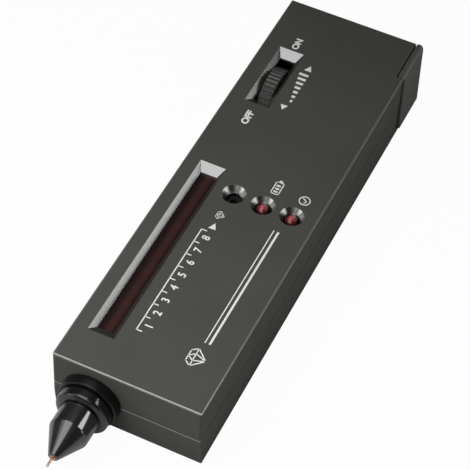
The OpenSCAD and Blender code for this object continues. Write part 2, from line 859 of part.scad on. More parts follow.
// Turned wheel with straight ribs across its rim, dished round the screw on the right
module thumb_wheel() {
    left = wheel_x - wheel_w / 2;
    right = wheel_x + wheel_w / 2;
    pitch = 360 / rib_count;
    rib_top = 0.22 * pitch;
    rib_root = 0.3 * pitch;
    dish_rim = 1.8;
    dish = 0.7;
    head_room = 0.4;
    outline = [
        for (i = [0:rib_count - 1]) each [
            (wheel_r - rib_h) * spoke(i * pitch - rib_root),
            wheel_r * spoke(i * pitch - rib_top),
            wheel_r * spoke(i * pitch + rib_top),
            (wheel_r - rib_h) * spoke(i * pitch + rib_root)
        ]
    ];
    color(charcoal) on_wheel_axis() difference() {
        translate([0, 0, left]) linear_extrude(wheel_w) polygon(outline);
        ring(shaft_r + fit / 2, left - past, right + past);
        ring(wheel_r - dish_rim, right - dish, right + past);
        ring(wheel_head_r + head_room, shaft_end, right + past);
    }
}

module wheel_screw() {
    head_h = 0.9;
    slot = 0.5;
    color(steel) on_wheel_axis() difference() {
        union() {
            ring(wheel_head_r, shaft_end, shaft_end + head_h);
            ring(wheel_shank_r, shaft_end - wheel_shank_l, shaft_end + head_h / 2);
        }
        translate([-shaft_r, -slot / 2, shaft_end + head_h / 2]) cube([2 * shaft_r, slot, past]);
    }
}

module pot_shaft() {
    end_gap = 0.3;
    color(brass) on_wheel_axis() difference() {
        union() {
            ring(shaft_r, shaft_flange_at, shaft_end);
            ring(shaft_flange_r, shaft_flange_at, shaft_flange_at + shaft_flange_t);
        }
        ring(wheel_shank_r + fit / 2, shaft_end - wheel_shank_l - end_gap, shaft_end + past);
    }
}

module volume_pot() {
    pitch = 2;
    terminal = [0.4, 0.8, 3];
    terminal_below = 1.6;
    terminal_z = wheel_at_z - pot_d / 2 - terminal_below;
    color("dimgray") {
        on_wheel_axis() difference() {
            ring(pot_d / 2, pot_left, pot_right);
            ring(shaft_r + fit, shaft_flange_at - fit, pot_right + past);
            ring(shaft_flange_r + fit, shaft_flange_at - fit, shaft_flange_at + shaft_flange_t + fit);
        }
        // Five terminals below the body, laid on the board
        for (i = [-2:2])
            translate([pot_left, wheel_at_y + i * pitch - terminal.y / 2, terminal_z]) cube(terminal);
    }
}

module pot_board() {
    color(board_green) box([pot_board_left, wheel_at_y - pot_board_l / 2, floor_z],
        [pot_left, wheel_at_y + pot_board_l / 2, ceiling_z - pot_board_gap]);
}

// Three wires from the potentiometer's board to the main board, one above the other
module pot_leads() {
    lane = 1.3;
    start = wheel_at_y - pot_board_l / 2;
    x0 = pot_left;
    x1 = (battery_left - boss_x + boss_d / 2) / 2;
    color("dimgray") for (i = [0:2]) {
        low = floor_z + 1.4 + i * lane;
        high = board_z + 1.5 + i * lane;
        end_y = board_rear - 1.8 - i * 1.6;
        wire([
            [x0, start + 2.4, low], [x0 + 1, start + 2.4, low], [x0 + 2, start + 1.2, low],
            [x0 + 3, start - 2, low + 0.3], [x1, start - 7, low + 2.2], [x1, board_rear + 5, high - 0.6],
            [x1, end_y + 1, high], [x1, end_y + 0.2, high - 0.3], [x1, end_y, high - 0.8],
            [x1, end_y, board_z + lead_gap]
        ], wire_r);
    }
}

module battery() {
    r = 1.5;
    color("slategray") along_y(battery_front, battery_rear)
        polygon(round_box([battery_left, floor_z], [battery_right, floor_z + battery_t], [r, r, r, r]));
}

// Puts a piece drawn about +Z on one stud's axis, forwards out of the battery's end
module on_stud(side) {
    translate([battery_x + side * stud_pitch / 2, battery_front, battery_z]) rotate([90, 0, 0]) children();
}

// Round stud on the right, hollow stud on the left
module battery_studs() {
    base_t = 0.4;
    color(steel) {
        on_stud(1) ring(stud_r, 0, stud_h);
        on_stud(-1) difference() {
            ring(stud_r + socket_wall, 0, stud_h);
            ring(stud_r + socket_gap, base_t, stud_h + past);
        }
    }
}

// The connector's own round stud and socket, the other way round
module snap_contacts() {
    seat = stud_h + fit;
    base_t = 0.05;
    foot_gap = 0.15;
    stud_gap = 0.6;
    color(steel) {
        on_stud(-1) ring(stud_r, stud_gap, seat);
        on_stud(1) difference() {
            ring(stud_r + socket_wall, foot_gap, seat);
            ring(stud_r + socket_gap, foot_gap - past, seat - base_t);
        }
    }
}

module battery_snap() {
    r = snap_h / 4;
    half = [snap_w, snap_h] / 2;
    middle = [battery_x, battery_z];
    color(black) along_y(snap_front, snap_rear)
        polygon(round_box(middle - half, middle + half, [r, r, r, r]));
}

// Two wires from the connector's front to the main board
module battery_leads() {
    z = battery_z + 2;
    y = snap_front;
    color("firebrick") for (x = [battery_x - 4, battery_x - 7])
        wire([
            [x, y, z], [x, y - 0.8, z], [x - 0.4, y - 2, z + 0.9], [x - 1, y - 3.6, z + 1.2],
            [x - 1.3, y - 4.8, z + 0.6], [x - 1.3, y - 5.2, z - 0.4], [x - 1.3, y - 5.2, board_z + lead_gap]
        ], wire_r);
}

module battery_pad() {
    side = 3;
    front = 6;
    rear = 10;
    color("gray") box([battery_left + side, battery_front + front, floor_z + battery_t],
        [battery_right - side, battery_rear - rear, ceiling_z]);
}

module finger_plate() {
    color(steel) translate([0, finger_y, finger_sink]) linear_extrude(finger_t)
        polygon(round_box(-[finger_w, finger_l] / 2, [finger_w, finger_l] / 2, finger_corners));
}

module plate_pin() {
    color(brass) translate([plate_pin_at.x, plate_pin_at.y, finger_sink + finger_t])
        cylinder(r = plate_pin_r, h = board_bottom - finger_sink - finger_t);
}

module probe_collar() {
    r = 0.6;
    color(black) on_probe() difference() {
        union() {
            rotate_extrude() polygon(concat(
                [[0, 0], [collar_r - r / 2, 0], [collar_r, r / 2]],
                quarter([collar_r - r, collar_t - r], r, 0),
                [[0, collar_t]]
            ));
            ring(neck_r, -front_wall - fit, collar_t / 2);
            ring(flange_r, -front_wall - fit - flange_t, -front_wall - fit);
        }
        ring(tube_hole_r, -front_wall - flange_t - past, collar_t + past);
    }
}

module probe_ring() {
    r = 0.5;
    groove_r = ring_r - ring_groove_in;
    color(black) on_probe() difference() {
        rotate_extrude() polygon(concat(
            [[0, ring_start], [groove_r, ring_start], [groove_r, rim_start]],
            [[ring_r - r / 2, rim_start], [ring_r, rim_start + r / 2]],
            quarter([ring_r - r, rim_end - r], r, 0),
            [[ring_nose_r, ring_end], [0, ring_end]]
        ));
        ring(tube_hole_r, ring_start - past, ring_end + past);
    }
}

module probe_nose() {
    r = 0.25;
    color(black) on_probe() difference() {
        rotate_extrude() polygon(concat(
            [[0, barrel_start]], quarter([barrel_r - r, barrel_start + r], r, 270),
            [[barrel_r, barrel_end], [cone_end_r, cone_end], [0, cone_end]]
        ));
        ring(tube_hole_r, barrel_start - past, barrel_end);
        ring(chamber_r, barrel_start, chamber_end);
        ring(head_room_r, barrel_start, bush_seat);
        ring(bush_r + pin_fit, barrel_start, cone_end + past);
    }
}

module probe_tube() {
    color(steel) on_probe() difference() {
        ring(tube_r, -tube_in, tube_end);
        ring(tube_bore_r, -tube_in - past, tube_end + past);
    }
}

module tip_bush() {
    color(copper) on_probe() difference() {
        union() {
            ring(bush_flange_r, bush_seat - bush_flange_t, bush_seat);
            ring(bush_r, bush_seat - bush_flange_t, cone_end + bush_out);
        }
        ring(pin_r + pin_fit, bush_seat - past - bush_flange_t, cone_end + past);
    }
}

module probe_pin() {
    point = pin_r * 1.5;
    color(copper) on_probe() {
        ring(pin_r, heater_front - heater_t / 2, pin_end - point);
        translate([0, 0, pin_end - point]) cylinder(r1 = pin_r, r2 = pin_r / 3, h = point);
        ring(head_r, spring_front, head_front);
    }
}

// Open coil round the pin, from its washer to the pin's head
module pin_spring() {
    steps = 8;
    coil_r = head_r - spring_wire_r - pin_fit;
    start = seat_front + spring_wire_r + pin_fit;
    end = spring_front - spring_wire_r - pin_fit;
    count = spring_turns * steps;
    path = [for (i = [0:count]) [
        coil_r * cos(360 * i / steps), coil_r * sin(360 * i / steps), start + (end - start) * i / count
    ]];
    color(steel) on_probe() wire(path, spring_wire_r, 6);
}

module spring_seat() {
    color(steel) on_probe() difference() {
        ring(tube_bore_r - pin_fit / 2, seat_front - seat_t, seat_front);
        ring(pin_r + pin_fit, seat_front - seat_t - past, seat_front + past);
    }
}

module heater() {
    color("ivory") on_probe() difference() {
        ring(heater_r, heater_front - heater_t, heater_front);
        ring(pin_r + pin_fit / 2, heater_front - heater_t / 2, heater_front + past);
    }
}

module probe_plug() {
    color("ivory") on_probe() {
        ring(tube_bore_r - fit, -tube_in, -tube_in + plug_in);
        ring(tube_r, -tube_in - plug_t, -tube_in);
        for (s = [-1, 1])
            translate([terminal_x * s, 0, 0]) ring(terminal_r, -tube_in - plug_t - terminal_out, -tube_in);
    }
}

// Two wires from the plug's terminals to the front of the main board
module probe_leads() {
    y0 = front_y + tube_in + plug_t + terminal_out;
    y1 = front_y + board_start_left + 1.4;
    z = parting_z;
    color("goldenrod") for (s = [-1, 1]) {
        x0 = probe_x + terminal_x * s;
        x1 = probe_x + 1.9 + 1.1 * s;
        wire([
            [x0, y0, z], [x0, y0 + 0.7, z], [x0 + 1, y0 + 1.9, z + 0.8], [x1 - 0.1, y1 - 1.2, z + 1.2],
            [x1, y1 - 0.3, z + 1], [x1, y1, z + 0.5], [x1, y1, board_z + lead_gap]
        ], wire_r);
    }
}

upper_shell();
lower_shell();
end_cover();
window_filter();
scale_lamps();
battery_lamp();
ready_lamp();
buzzer();
main_board();
driver_chip();
amplifier_chip();
trimmer();
capacitor();
resistors();
board_screws();
case_screws();
thumb_wheel();
wheel_screw();
volume_pot();
pot_shaft();
pot_board();
pot_leads();
battery();
battery_studs();
battery_snap();
snap_contacts();
battery_leads();
battery_pad();
finger_plate();
plate_pin();
probe_collar();
probe_ring();
probe_nose();
probe_tube();
tip_bush();
probe_pin();
pin_spring();
spring_seat();
heater();
probe_plug();
probe_leads();
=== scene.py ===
# %% [markdown]
# # A hand-held diamond tester
#
# The real thing is a slim charcoal case with a sprung copper pin on a stepped black probe, a bar of
# lamps behind a red window, two round lamps and a ribbed thumb wheel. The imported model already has
# the right sizes, so this lesson loads it as a fixed frame, keeps the pieces whose shape is right,
# and makes finer surfaces for those that a flat-sided model shows too coarsely. A new piece could be
# placed by numbers alone, but here the box of its solid says where it goes, so the two stay together.

# %% Load the frame
import json
import math

import bpy
import numpy as np
from mathutils import Matrix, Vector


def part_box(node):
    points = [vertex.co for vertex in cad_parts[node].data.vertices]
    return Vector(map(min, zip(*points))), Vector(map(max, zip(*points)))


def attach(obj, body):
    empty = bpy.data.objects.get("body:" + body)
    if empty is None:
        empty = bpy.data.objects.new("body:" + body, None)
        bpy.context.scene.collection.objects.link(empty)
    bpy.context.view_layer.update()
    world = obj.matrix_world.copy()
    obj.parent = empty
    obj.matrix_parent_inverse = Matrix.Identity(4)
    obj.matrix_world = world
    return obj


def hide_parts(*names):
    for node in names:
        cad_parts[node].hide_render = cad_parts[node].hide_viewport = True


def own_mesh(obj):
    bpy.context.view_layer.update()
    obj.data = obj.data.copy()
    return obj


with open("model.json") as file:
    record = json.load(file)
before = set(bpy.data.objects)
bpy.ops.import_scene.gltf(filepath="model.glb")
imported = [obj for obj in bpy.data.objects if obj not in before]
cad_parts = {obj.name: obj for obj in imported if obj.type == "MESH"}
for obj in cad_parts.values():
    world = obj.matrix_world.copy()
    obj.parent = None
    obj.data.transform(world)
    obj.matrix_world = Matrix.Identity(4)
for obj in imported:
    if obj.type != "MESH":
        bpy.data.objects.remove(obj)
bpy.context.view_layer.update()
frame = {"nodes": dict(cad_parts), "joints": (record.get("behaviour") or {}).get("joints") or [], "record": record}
nodes = frame["nodes"]
MM = 0.001


# %% Places from the frame
def corners_mm(node):
    """Lowest corner, highest corner and middle of a solid, in millimetres. They are rounded to the
    hundredth, because the box of a round solid is the box of its facets."""
    low, high = np.array(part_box(node)) / MM
    return [np.round(corner, 2) for corner in (low, high, (low + high) / 2)]


HALF_W, HALF_L, TOP_Z = corners_mm("upper_shell")[1]
FRONT_Y = -HALF_L
print("case:", 2 * HALF_W, "x", 2 * HALF_L, "x", TOP_Z, "mm")

# %% [markdown]
# ## The camera
#
# The photograph was taken from the front right and well above, with a long lens. The place, the aim
# and the lens were found by matching the case's corners. A camera can be turned by angles or by a
# matrix. A matrix is used here, because the three directions right, up and back are easy to check.

# %% Camera
CAMERA_AT = (0.11862, -0.29779, 0.37754)
AZIMUTH, ELEVATION, ROLL = np.radians((22.293, 49.455, 3.983))
PHOTO_WIDTH = 470
FOCAL_PIXELS = 1949.77
SENSOR = 36.0


def camera_axes(azimuth, elevation, roll):
    """Right, up and back: back points from the object to the camera, right lies level before the
    roll turns right and up about back."""
    back = np.array((
        math.sin(azimuth) * math.cos(elevation),
        -math.cos(azimuth) * math.cos(elevation),
        math.sin(elevation),
    ))
    level = np.array((math.cos(azimuth), math.sin(azimuth), 0.0))
    upright = np.cross(back, level)
    right = math.cos(roll) * level + math.sin(roll) * upright
    return right, np.cross(back, right), back


def standing(at, axes):
    """Matrix that puts an object at a point, with its own X, Y and Z along three directions."""
    matrix = Matrix.Identity(4)
    for column, axis in enumerate(axes):
        for row in range(3):
            matrix[row][column] = axis[row]
    return Matrix.Translation(at) @ matrix


lens = bpy.data.cameras.new("camera")
lens.sensor_width = SENSOR
lens.lens = FOCAL_PIXELS * SENSOR / PHOTO_WIDTH
lens.clip_start = 0.01
lens.clip_end = 20
camera = bpy.data.objects.new("camera", lens)
bpy.context.scene.collection.objects.link(camera)
camera.matrix_world = standing(CAMERA_AT, camera_axes(AZIMUTH, ELEVATION, ROLL))
bpy.context.scene.camera = camera
print("camera: lens", round(lens.lens, 1), "mm")

# %% [markdown]
# ## Shader sums as Python
#
# A material is a graph of nodes. Wiring each Math node by hand takes many lines, so a small class
# wraps a node's output and lets it be added, multiplied and subtracted like a number. Anything that
# isn't plain arithmetic goes through one method that makes any node: first its settings, then the
# values or links of its sockets.


# %% Shader class
class Shade:
    """One output of a shader tree. Sums with numbers or other outputs add Math nodes."""

    def __init__(self, tree, socket=None):
        self.tree = tree
        self.socket = socket

    def node(self, kind, settings=None, sockets=None, out=0):
        """Adds a node, sets its settings, then fills its sockets, and returns one of its outputs."""
        made = self.tree.nodes.new(kind)
        for name, value in (settings or {}).items():
            setattr(made, name, value)
        for name, value in (sockets or {}).items():
            self.feed(made.inputs[name], value)
        return Shade(self.tree, made.outputs[out])

    def feed(self, target, value):
        """Links an output to a socket, or sets the socket to a plain value."""
        if isinstance(value, Shade):
            self.tree.links.new(value.socket, target)
        else:
            target.default_value = value

    def math(self, operation, first, second=0.0):
        """A Math node with one or two inputs."""
        return self.node("ShaderNodeMath", {"operation": operation}, {0: first, 1: second})

    def __add__(self, other):
        return self.math("ADD", self, other)

    def __radd__(self, other):
        return self.math("ADD", other, self)

    def __sub__(self, other):
        return self.math("SUBTRACT", self, other)

    def __rsub__(self, other):
        return self.math("SUBTRACT", other, self)

    def __mul__(self, other):
        return self.math("MULTIPLY", self, other)

    def __rmul__(self, other):
        return self.math("MULTIPLY", other, self)

    def __truediv__(self, other):
        return self.math("DIVIDE", self, other)

    def __abs__(self):
        return self.math("ABSOLUTE", self)

    def within(self, edge, soft):
        """1 where this value is below the edge and 0 above it, over a soft step."""
        return self.node(
            "ShaderNodeMapRange", {"interpolation_type": "SMOOTHSTEP"},
            {"Value": self, "From Min": edge - soft, "From Max": edge + soft,
             "To Min": 1.0, "To Max": 0.0},
        )

    def between(self, low, high):
        """Stretches this value, which runs from 0 to 1, over low to high."""
        return self * (high - low) + low

    def mix(self, first, second):
        """Goes from one colour to another as this value goes from 0 to 1. A Mix node has a set of sockets
        for each kind of value: its colours are sockets 6 and 7, and their mix is output 2."""
        return self.node("ShaderNodeMix", {"data_type": "RGBA"}, {0: self, 6: first, 7: second}, out=2)


print("shader class ready")

# %% [markdown]
# ## A finish from the object's own place
#
# Every piece sits at the origin, so Object coordinates are places on the tester itself, in metres. A
# pattern read from them stays on the piece when a joint moves it. The class below opens a material
# with its Principled shader and keeps the coordinates in millimetres, and its noise gives any grain.


# %% Material helpers
def colour(red, green, blue):
    """A colour as sockets take it, with nothing see-through."""
    return (red, green, blue, 1.0)


class Finish:
    """A material with one Principled shader, and the coordinates that its patterns read."""

    def __init__(self, name, roughness, **plain):
        self.material = bpy.data.materials.new(name)
        self.material.use_nodes = True
        self.tree = self.material.node_tree
        self.shader = self.tree.nodes["Principled BSDF"]
        self.set("Roughness", roughness)
        for socket, value in plain.items():
            self.set(socket.replace("_", " "), value)
        start = Shade(self.tree)
        self.place = start.node("ShaderNodeTexCoord", out="Object")
        self.x, self.y, self.z = (
            self.place.node("ShaderNodeSeparateXYZ", None, {0: self.place}, out=i) / MM
            for i in range(3)
        )

    def set(self, socket, value):
        """Links an output to one of the shader's sockets, or sets it to a plain value."""
        Shade(self.tree).feed(self.shader.inputs[socket], value)

    def noise(self, size_mm, detail=2.0, stretch=(1.0, 1.0, 1.0)):
        """Noise from 0 to 1 whose lumps are about size_mm across, drawn out along an axis by stretch."""
        scale = tuple(1.0 / (size_mm * MM * s) for s in stretch)
        moved = self.place.node(
            "ShaderNodeMapping", {"vector_type": "POINT"}, {0: self.place, "Scale": scale}
        )
        return self.place.node(
            "ShaderNodeTexNoise", None, {"Vector": moved, "Scale": 1.0, "Detail": detail}
        )

    def bump(self, height, depth_mm, strength=1.0):
        """Roughens the surface by a height from 0 to 1 that stands for depth_mm."""
        self.set("Normal", self.place.node(
            "ShaderNodeBump", None, {"Strength": strength, "Distance": depth_mm * MM, "Height": height}
        ))


print("material helpers ready")

# %% [markdown]
# ## Charcoal case
#
# The shells are satin charcoal with a fine grain. The sloping walls of the window and of the wheel's
# recess are smooth, so they mirror the lamps. The cones of the three holes are as bright as metal, and
# the hole walls below them are painted black as shade. The top's edges are smoother, and they and the
# front ledge at the parting line are painted paler, as a highlight. Several materials could be assigned
# face by face, but each solid is one skin, so one material asks where on the case a point lies.

# %% Places on the case
# The window lies over its red strip and the recess round the wheel. Each is its middle in X and Y, then
# half its width and half its length, in millimetres. The three holes are one lamp pitch apart.
FILTER_LOW, FILTER_HIGH, FILTER_AT = corners_mm("window_filter")
WHEEL_LOW, WHEEL_HIGH, WHEEL_AT = corners_mm("thumb_wheel")
LAMP_LOW, LAMP_HIGH, LAMP_AT = corners_mm("battery_lamp")
LAMP_PITCH = corners_mm("ready_lamp")[2][0] - LAMP_AT[0]
WINDOW = (FILTER_AT[0], FILTER_AT[1], 3.45, 29.8)
WHEEL_RECESS = (WHEEL_AT[0], WHEEL_AT[1], 3.4, 11.0)
HOLES_Y = LAMP_AT[1]
HOLES_X = LAMP_AT[0] + LAMP_PITCH * np.array((-1, 0, 1))
CONE_R = 3.1
EDGE_R = 0.4
LEDGE_Z = 10.4
SLOPE_DEPTH = 1.75
HOLE_DEPTH = 4.0


def in_box(finish, box):
    """Mask of a rectangle on the top: 1 inside, from the distances to its middle."""
    middle_x, middle_y, half_x, half_y = box
    across = abs(finish.x - middle_x).within(half_x, 0.05)
    along = abs(finish.y - middle_y).within(half_y, 0.05)
    return across * along


def from_axis(finish, hole_x):
    """Square of the distance to a hole's axis: the squares of both offsets, added."""
    away_x = finish.x - hole_x
    away_y = finish.y - HOLES_Y
    return away_x * away_x + away_y * away_y


def in_hole(finish, hole_x):
    """Mask of a round hole: 1 where the distance to the hole's axis is below the cone's radius."""
    return from_axis(finish, hole_x).within(CONE_R * CONE_R, 0.3)


def on_edges(finish):
    """Mask of the rounded edges round the top: near the top and near a side at the same time."""
    side = 1.0 - abs(finish.x).within(HALF_W - EDGE_R, 0.1)
    end = 1.0 - abs(finish.y).within(HALF_L - EDGE_R, 0.1)
    either = side.math("MAXIMUM", side, end)
    return either * (1.0 - finish.z.within(TOP_Z - EDGE_R, 0.1))


print("holes at X", *np.round(HOLES_X, 2), "and Y", HOLES_Y)

# %% Case finish
RECESS_GREY = colour(0.04, 0.04, 0.037)
CONE_GREY = colour(0.33, 0.33, 0.32)
HOLE_PAINTED_SHADE = colour(0.0018, 0.0016, 0.0014)
PAINTED_EDGE_HIGHLIGHT = colour(0.3, 0.3, 0.285)
SMOOTH_ROUGHNESS = 0.26


def case_finish(name, dark, light, grain_depth, sheen):
    """Charcoal: speckle and a slow drift mix two greys. Slopes and edges are smoother; the edges and the
    front ledge get a painted highlight, and the holes are metal-bright cones over painted black shade."""
    made = Finish(name, 0.4, Specular_IOR_Level=sheen, Coat_IOR=2.5, Coat_Roughness=0.2)
    shallow = 1.0 - made.z.within(TOP_Z - SLOPE_DEPTH, 0.05)
    recess = (in_box(made, WINDOW) + in_box(made, WHEEL_RECESS)) * shallow
    holes = in_hole(made, HOLES_X[0]) + in_hole(made, HOLES_X[1]) + in_hole(made, HOLES_X[2])
    cones = holes * shallow
    # The hole walls below the cones are painted near black, as shade.
    painted_hole_shade = holes * (1.0 - shallow) * (1.0 - made.z.within(TOP_Z - HOLE_DEPTH, 0.1))
    edge = on_edges(made)
    # This mask only lightens the colour: a painted highlight along the front ledge at the parting line.
    painted_ledge_highlight = (made.y + HALF_L).within(0.4, 0.1) * abs(made.z - LEDGE_Z).within(0.25, 0.1)
    speckle = made.noise(0.35, 3.0)
    drift = made.noise(22.0, 1.0)
    shade = speckle.between(-0.1, 0.6) + drift.between(-0.1, 0.6)
    grey = recess.mix(shade.mix(dark, light), RECESS_GREY)
    grey = painted_hole_shade.mix(cones.mix(grey, CONE_GREY), HOLE_PAINTED_SHADE)
    # The edges and the front ledge are painted paler, as a highlight.
    made.set("Base Color", (edge * 0.35 + painted_ledge_highlight * 0.9).mix(grey, PAINTED_EDGE_HIGHLIGHT))
    made.set("Metallic", cones)
    made.set("Coat Weight", recess + edge * 0.5)
    polished = recess + cones
    smooth = polished.math("MAXIMUM", polished, edge)
    rough = speckle.between(0.55, 0.68) * (1.0 - smooth)
    made.set("Roughness", rough + smooth * SMOOTH_ROUGHNESS)
    made.bump(speckle * (1.0 - smooth), grain_depth, 0.5)
    return made.material


def dress(node, material):
    """Gives a solid one material in place of its own."""
    skin = nodes[node].data.materials
    skin.clear()
    skin.append(material)


case_plastic = case_finish(
    "case_charcoal", colour(0.066, 0.066, 0.06), colour(0.096, 0.095, 0.085), 0.02, 0.08
)
cover_plastic = case_finish(
    "cover_charcoal", colour(0.076, 0.076, 0.07), colour(0.108, 0.107, 0.097), 0.03, 0.3
)
dress("upper_shell", case_plastic)
dress("lower_shell", case_plastic)
dress("end_cover", cover_plastic)
print("case finish on the shells and the cover")

# %% [markdown]
# ## Surfaces from arrays
#
# Most pieces here are turned on a lathe. Blender could spin a profile with a modifier, but a grid
# of points is one line of numpy: rows are places along the profile, columns are angles. A ring of
# rows either closes on itself, as a washer does, or ends in a cap at each end, as a pin does.


# %% Grids of faces
def quads(rows, columns, closed):
    """Corner numbers of a grid's faces: each face joins a row to the next and a column to the next;
    columns wrap round, rows wrap too if closed."""
    row = np.arange(rows if closed else rows - 1)[:, None]
    column = np.arange(columns)[None, :]
    after = (row + 1) % rows
    beside = (column + 1) % columns
    faces = np.stack(np.broadcast_arrays(
        row * columns + column, row * columns + beside, after * columns + beside, after * columns + column
    ), axis=-1)
    return faces.reshape(-1, 4)


def looped(grid):
    """Points and faces of a grid that closes both ways, such as a washer."""
    rows, columns, _ = grid.shape
    return grid.reshape(-1, 3), quads(rows, columns, True).tolist()


def capped(grid):
    """Points and faces of a tube of rings with a fan of triangles over each end."""
    rows, columns, _ = grid.shape
    ends = np.array((grid[0].mean(0), grid[-1].mean(0)))
    points = np.concatenate((grid.reshape(-1, 3), ends))
    column = np.arange(columns)
    beside = (column + 1) % columns
    last = (rows - 1) * columns
    first_fan = np.stack((np.full(columns, rows * columns), beside, column), axis=-1)
    last_fan = np.stack((np.full(columns, rows * columns + 1), last + column, last + beside), axis=-1)
    return points, quads(rows, columns, False).tolist() + first_fan.tolist() + last_fan.tolist()


def joined(*shapes):
    """Several shapes as one list of points and faces; each shape's corner numbers move up."""
    points = np.concatenate([shape[0] for shape in shapes])
    starts = np.cumsum([0] + [len(shape[0]) for shape in shapes[:-1]])
    faces = [
        [corner + start for corner in face]
        for shape, start in zip(shapes, starts)
        for face in shape[1]
    ]
    return points, faces


def raised(outline, low, high):
    """A flat outline in X and Y carried straight up from one height to another, with a cap at each."""
    rings = np.broadcast_to(outline[None], (2,) + outline.shape)
    heights = np.broadcast_to(np.array((low, high))[:, None, None], rings.shape[:2] + (1,))
    return capped(np.concatenate((rings, heights), axis=2))


print("grid helpers ready")


# %% Pieces from points and faces
def outward(points, faces):
    """Turns the faces over if the volume that they enclose, summed over corner triples, is negative."""
    triples = np.array([
        (face[0], face[i], face[i + 1]) for face in faces for i in range(1, len(face) - 1)
    ])
    a, b, c = (points[triples[:, i]] for i in range(3))
    volume = np.einsum("ij,ij->i", a, np.cross(b, c)).sum() / 6.0
    return [face[::-1] for face in faces] if volume < 0 else faces


def piece(name, shape, body, material, stands_for=(), sharp=35.0):
    """Makes a smooth mesh piece from points in millimetres, and lets it ride on a body."""
    points, faces = shape
    mesh = bpy.data.meshes.new(name)
    mesh.from_pydata((points * MM).tolist(), [], outward(points, faces))
    mesh.update()
    mesh.polygons.foreach_set("use_smooth", np.ones(len(mesh.polygons), dtype=bool))
    mesh.set_sharp_from_angle(angle=math.radians(sharp))
    mesh.materials.append(material)
    made = bpy.data.objects.new(name, mesh)
    bpy.context.scene.collection.objects.link(made)
    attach(made, body)
    if stands_for:
        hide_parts(*stands_for)
    print(name, "has", len(faces), "faces")
    return made


print("piece helpers ready")

# %% [markdown]
# ## Profiles with soft corners
#
# No moulded edge is perfectly sharp, and a soft corner is what catches the light. A profile is
# given by its corners; each corner is cut back a little and bridged by a parabola. Extra points
# just outside each bridge keep the flats flat when the shading is smooth.


# %% Profile helpers
# A corner takes up less than half of a side, and the flat beside it starts a little further on.
MOST_CUT = 0.48
FLAT_LEAD = 0.15


def softened(corners, cut, steps=6):
    """Corners as an array of points: each corner is cut back by cut towards both neighbours and
    bridged by (1-s)^2 A + 2 s (1-s) P + s^2 B."""
    corners = np.asarray(corners, dtype=float)
    to_last = np.roll(corners, 1, axis=0) - corners
    to_next = np.roll(corners, -1, axis=0) - corners
    reach = np.broadcast_to(np.asarray(cut, dtype=float), len(corners))[:, None]
    len_last = np.linalg.norm(to_last, axis=1, keepdims=True)
    len_next = np.linalg.norm(to_next, axis=1, keepdims=True)
    reach = np.minimum(reach, MOST_CUT * np.minimum(len_last, len_next))
    a = corners + to_last / len_last * reach
    b = corners + to_next / len_next * reach
    s = np.linspace(0.0, 1.0, steps)[None, :, None]
    bridge = (1 - s) ** 2 * a[:, None] + 2 * s * (1 - s) * corners[:, None] + s ** 2 * b[:, None]
    before = a[:, None] + FLAT_LEAD * (a - corners)[:, None]
    after = b[:, None] + FLAT_LEAD * (b - corners)[:, None]
    return np.concatenate((before, bridge, after), axis=1).reshape(-1, 2)


def turned(profile, centre, axis, steps=96):
    """A profile of (radius, distance along the axis) carried round the axis: each point is the
    centre plus distance times the axis plus radius times a direction that goes once round."""
    axis = np.asarray(axis, dtype=float)
    side = np.array((0.0, 0.0, 1.0)) if abs(axis[2]) < 0.5 else np.array((1.0, 0.0, 0.0))
    other = np.cross(axis, side)
    angle = np.linspace(0.0, 2 * np.pi, steps, endpoint=False)
    round_way = np.cos(angle)[:, None] * side + np.sin(angle)[:, None] * other
    radius, along = np.asarray(profile, dtype=float).T
    return centre + along[:, None, None] * axis + radius[:, None, None] * round_way[None]


print("profile helpers ready")

# %% [markdown]
# ## The probe
#
# Three black mouldings sit on a hidden metal tube: a dull broad collar against the front wall, a
# grooved ring with a sloping front, half as shiny as the nose, and the polished nose, which is a barrel
# that runs into a cone. The solids have the same steps, but with hard edges. Here each is a closed
# profile with soft corners, turned about the probe's axis, so a streak of light runs cleanly along it.

# %% Places on the probe
COLLAR_AT = corners_mm("probe_collar")[2]
PROBE_AT = np.array((COLLAR_AT[0], FRONT_Y, COLLAR_AT[2]))
OUT = (0.0, -1.0, 0.0)


def probe_span(node):
    """Back and front of a solid on the probe, as distances out of the front wall, and its radius."""
    low, high, _ = corners_mm(node)
    return FRONT_Y - high[1], FRONT_Y - low[1], (high[0] - low[0]) / 2


COLLAR_BACK, COLLAR_FRONT, COLLAR_R = probe_span("probe_collar")
RING_BACK, RING_FRONT, RING_R = probe_span("probe_ring")
NOSE_BACK, NOSE_FRONT, NOSE_R = probe_span("probe_nose")
GROOVE_W = 0.5
GROOVE_END = RING_BACK + GROOVE_W
print("probe stands out", round(NOSE_FRONT, 2), "mm without its pin")

# %% Probe finish
probe_black = Finish(
    "probe_black", 0.3, Specular_IOR_Level=0.2, Coat_IOR=1.7, Coat_Roughness=0.1
)
smear = probe_black.noise(1.8, 2.0, (1.0, 4.0, 1.0))
past_ring = probe_black.y.within(FRONT_Y - GROOVE_END, 0.1)
past_nose = probe_black.y.within(FRONT_Y - NOSE_BACK, 0.1)
black = smear.mix(colour(0.004, 0.004, 0.004), colour(0.01, 0.01, 0.0095))
greyed = smear.mix(colour(0.008, 0.008, 0.0077), colour(0.018, 0.018, 0.017))
probe_black.set("Base Color", past_nose.mix(black, greyed))
probe_black.set("Coat Weight", (past_nose + past_ring) * 0.5)
probe_black.set("Roughness", smear.between(0.26, 0.42))
probe_black.bump(probe_black.noise(0.12, 1.0, (1.0, 0.25, 1.0)), 0.003, 0.4)
print("probe finish ready")

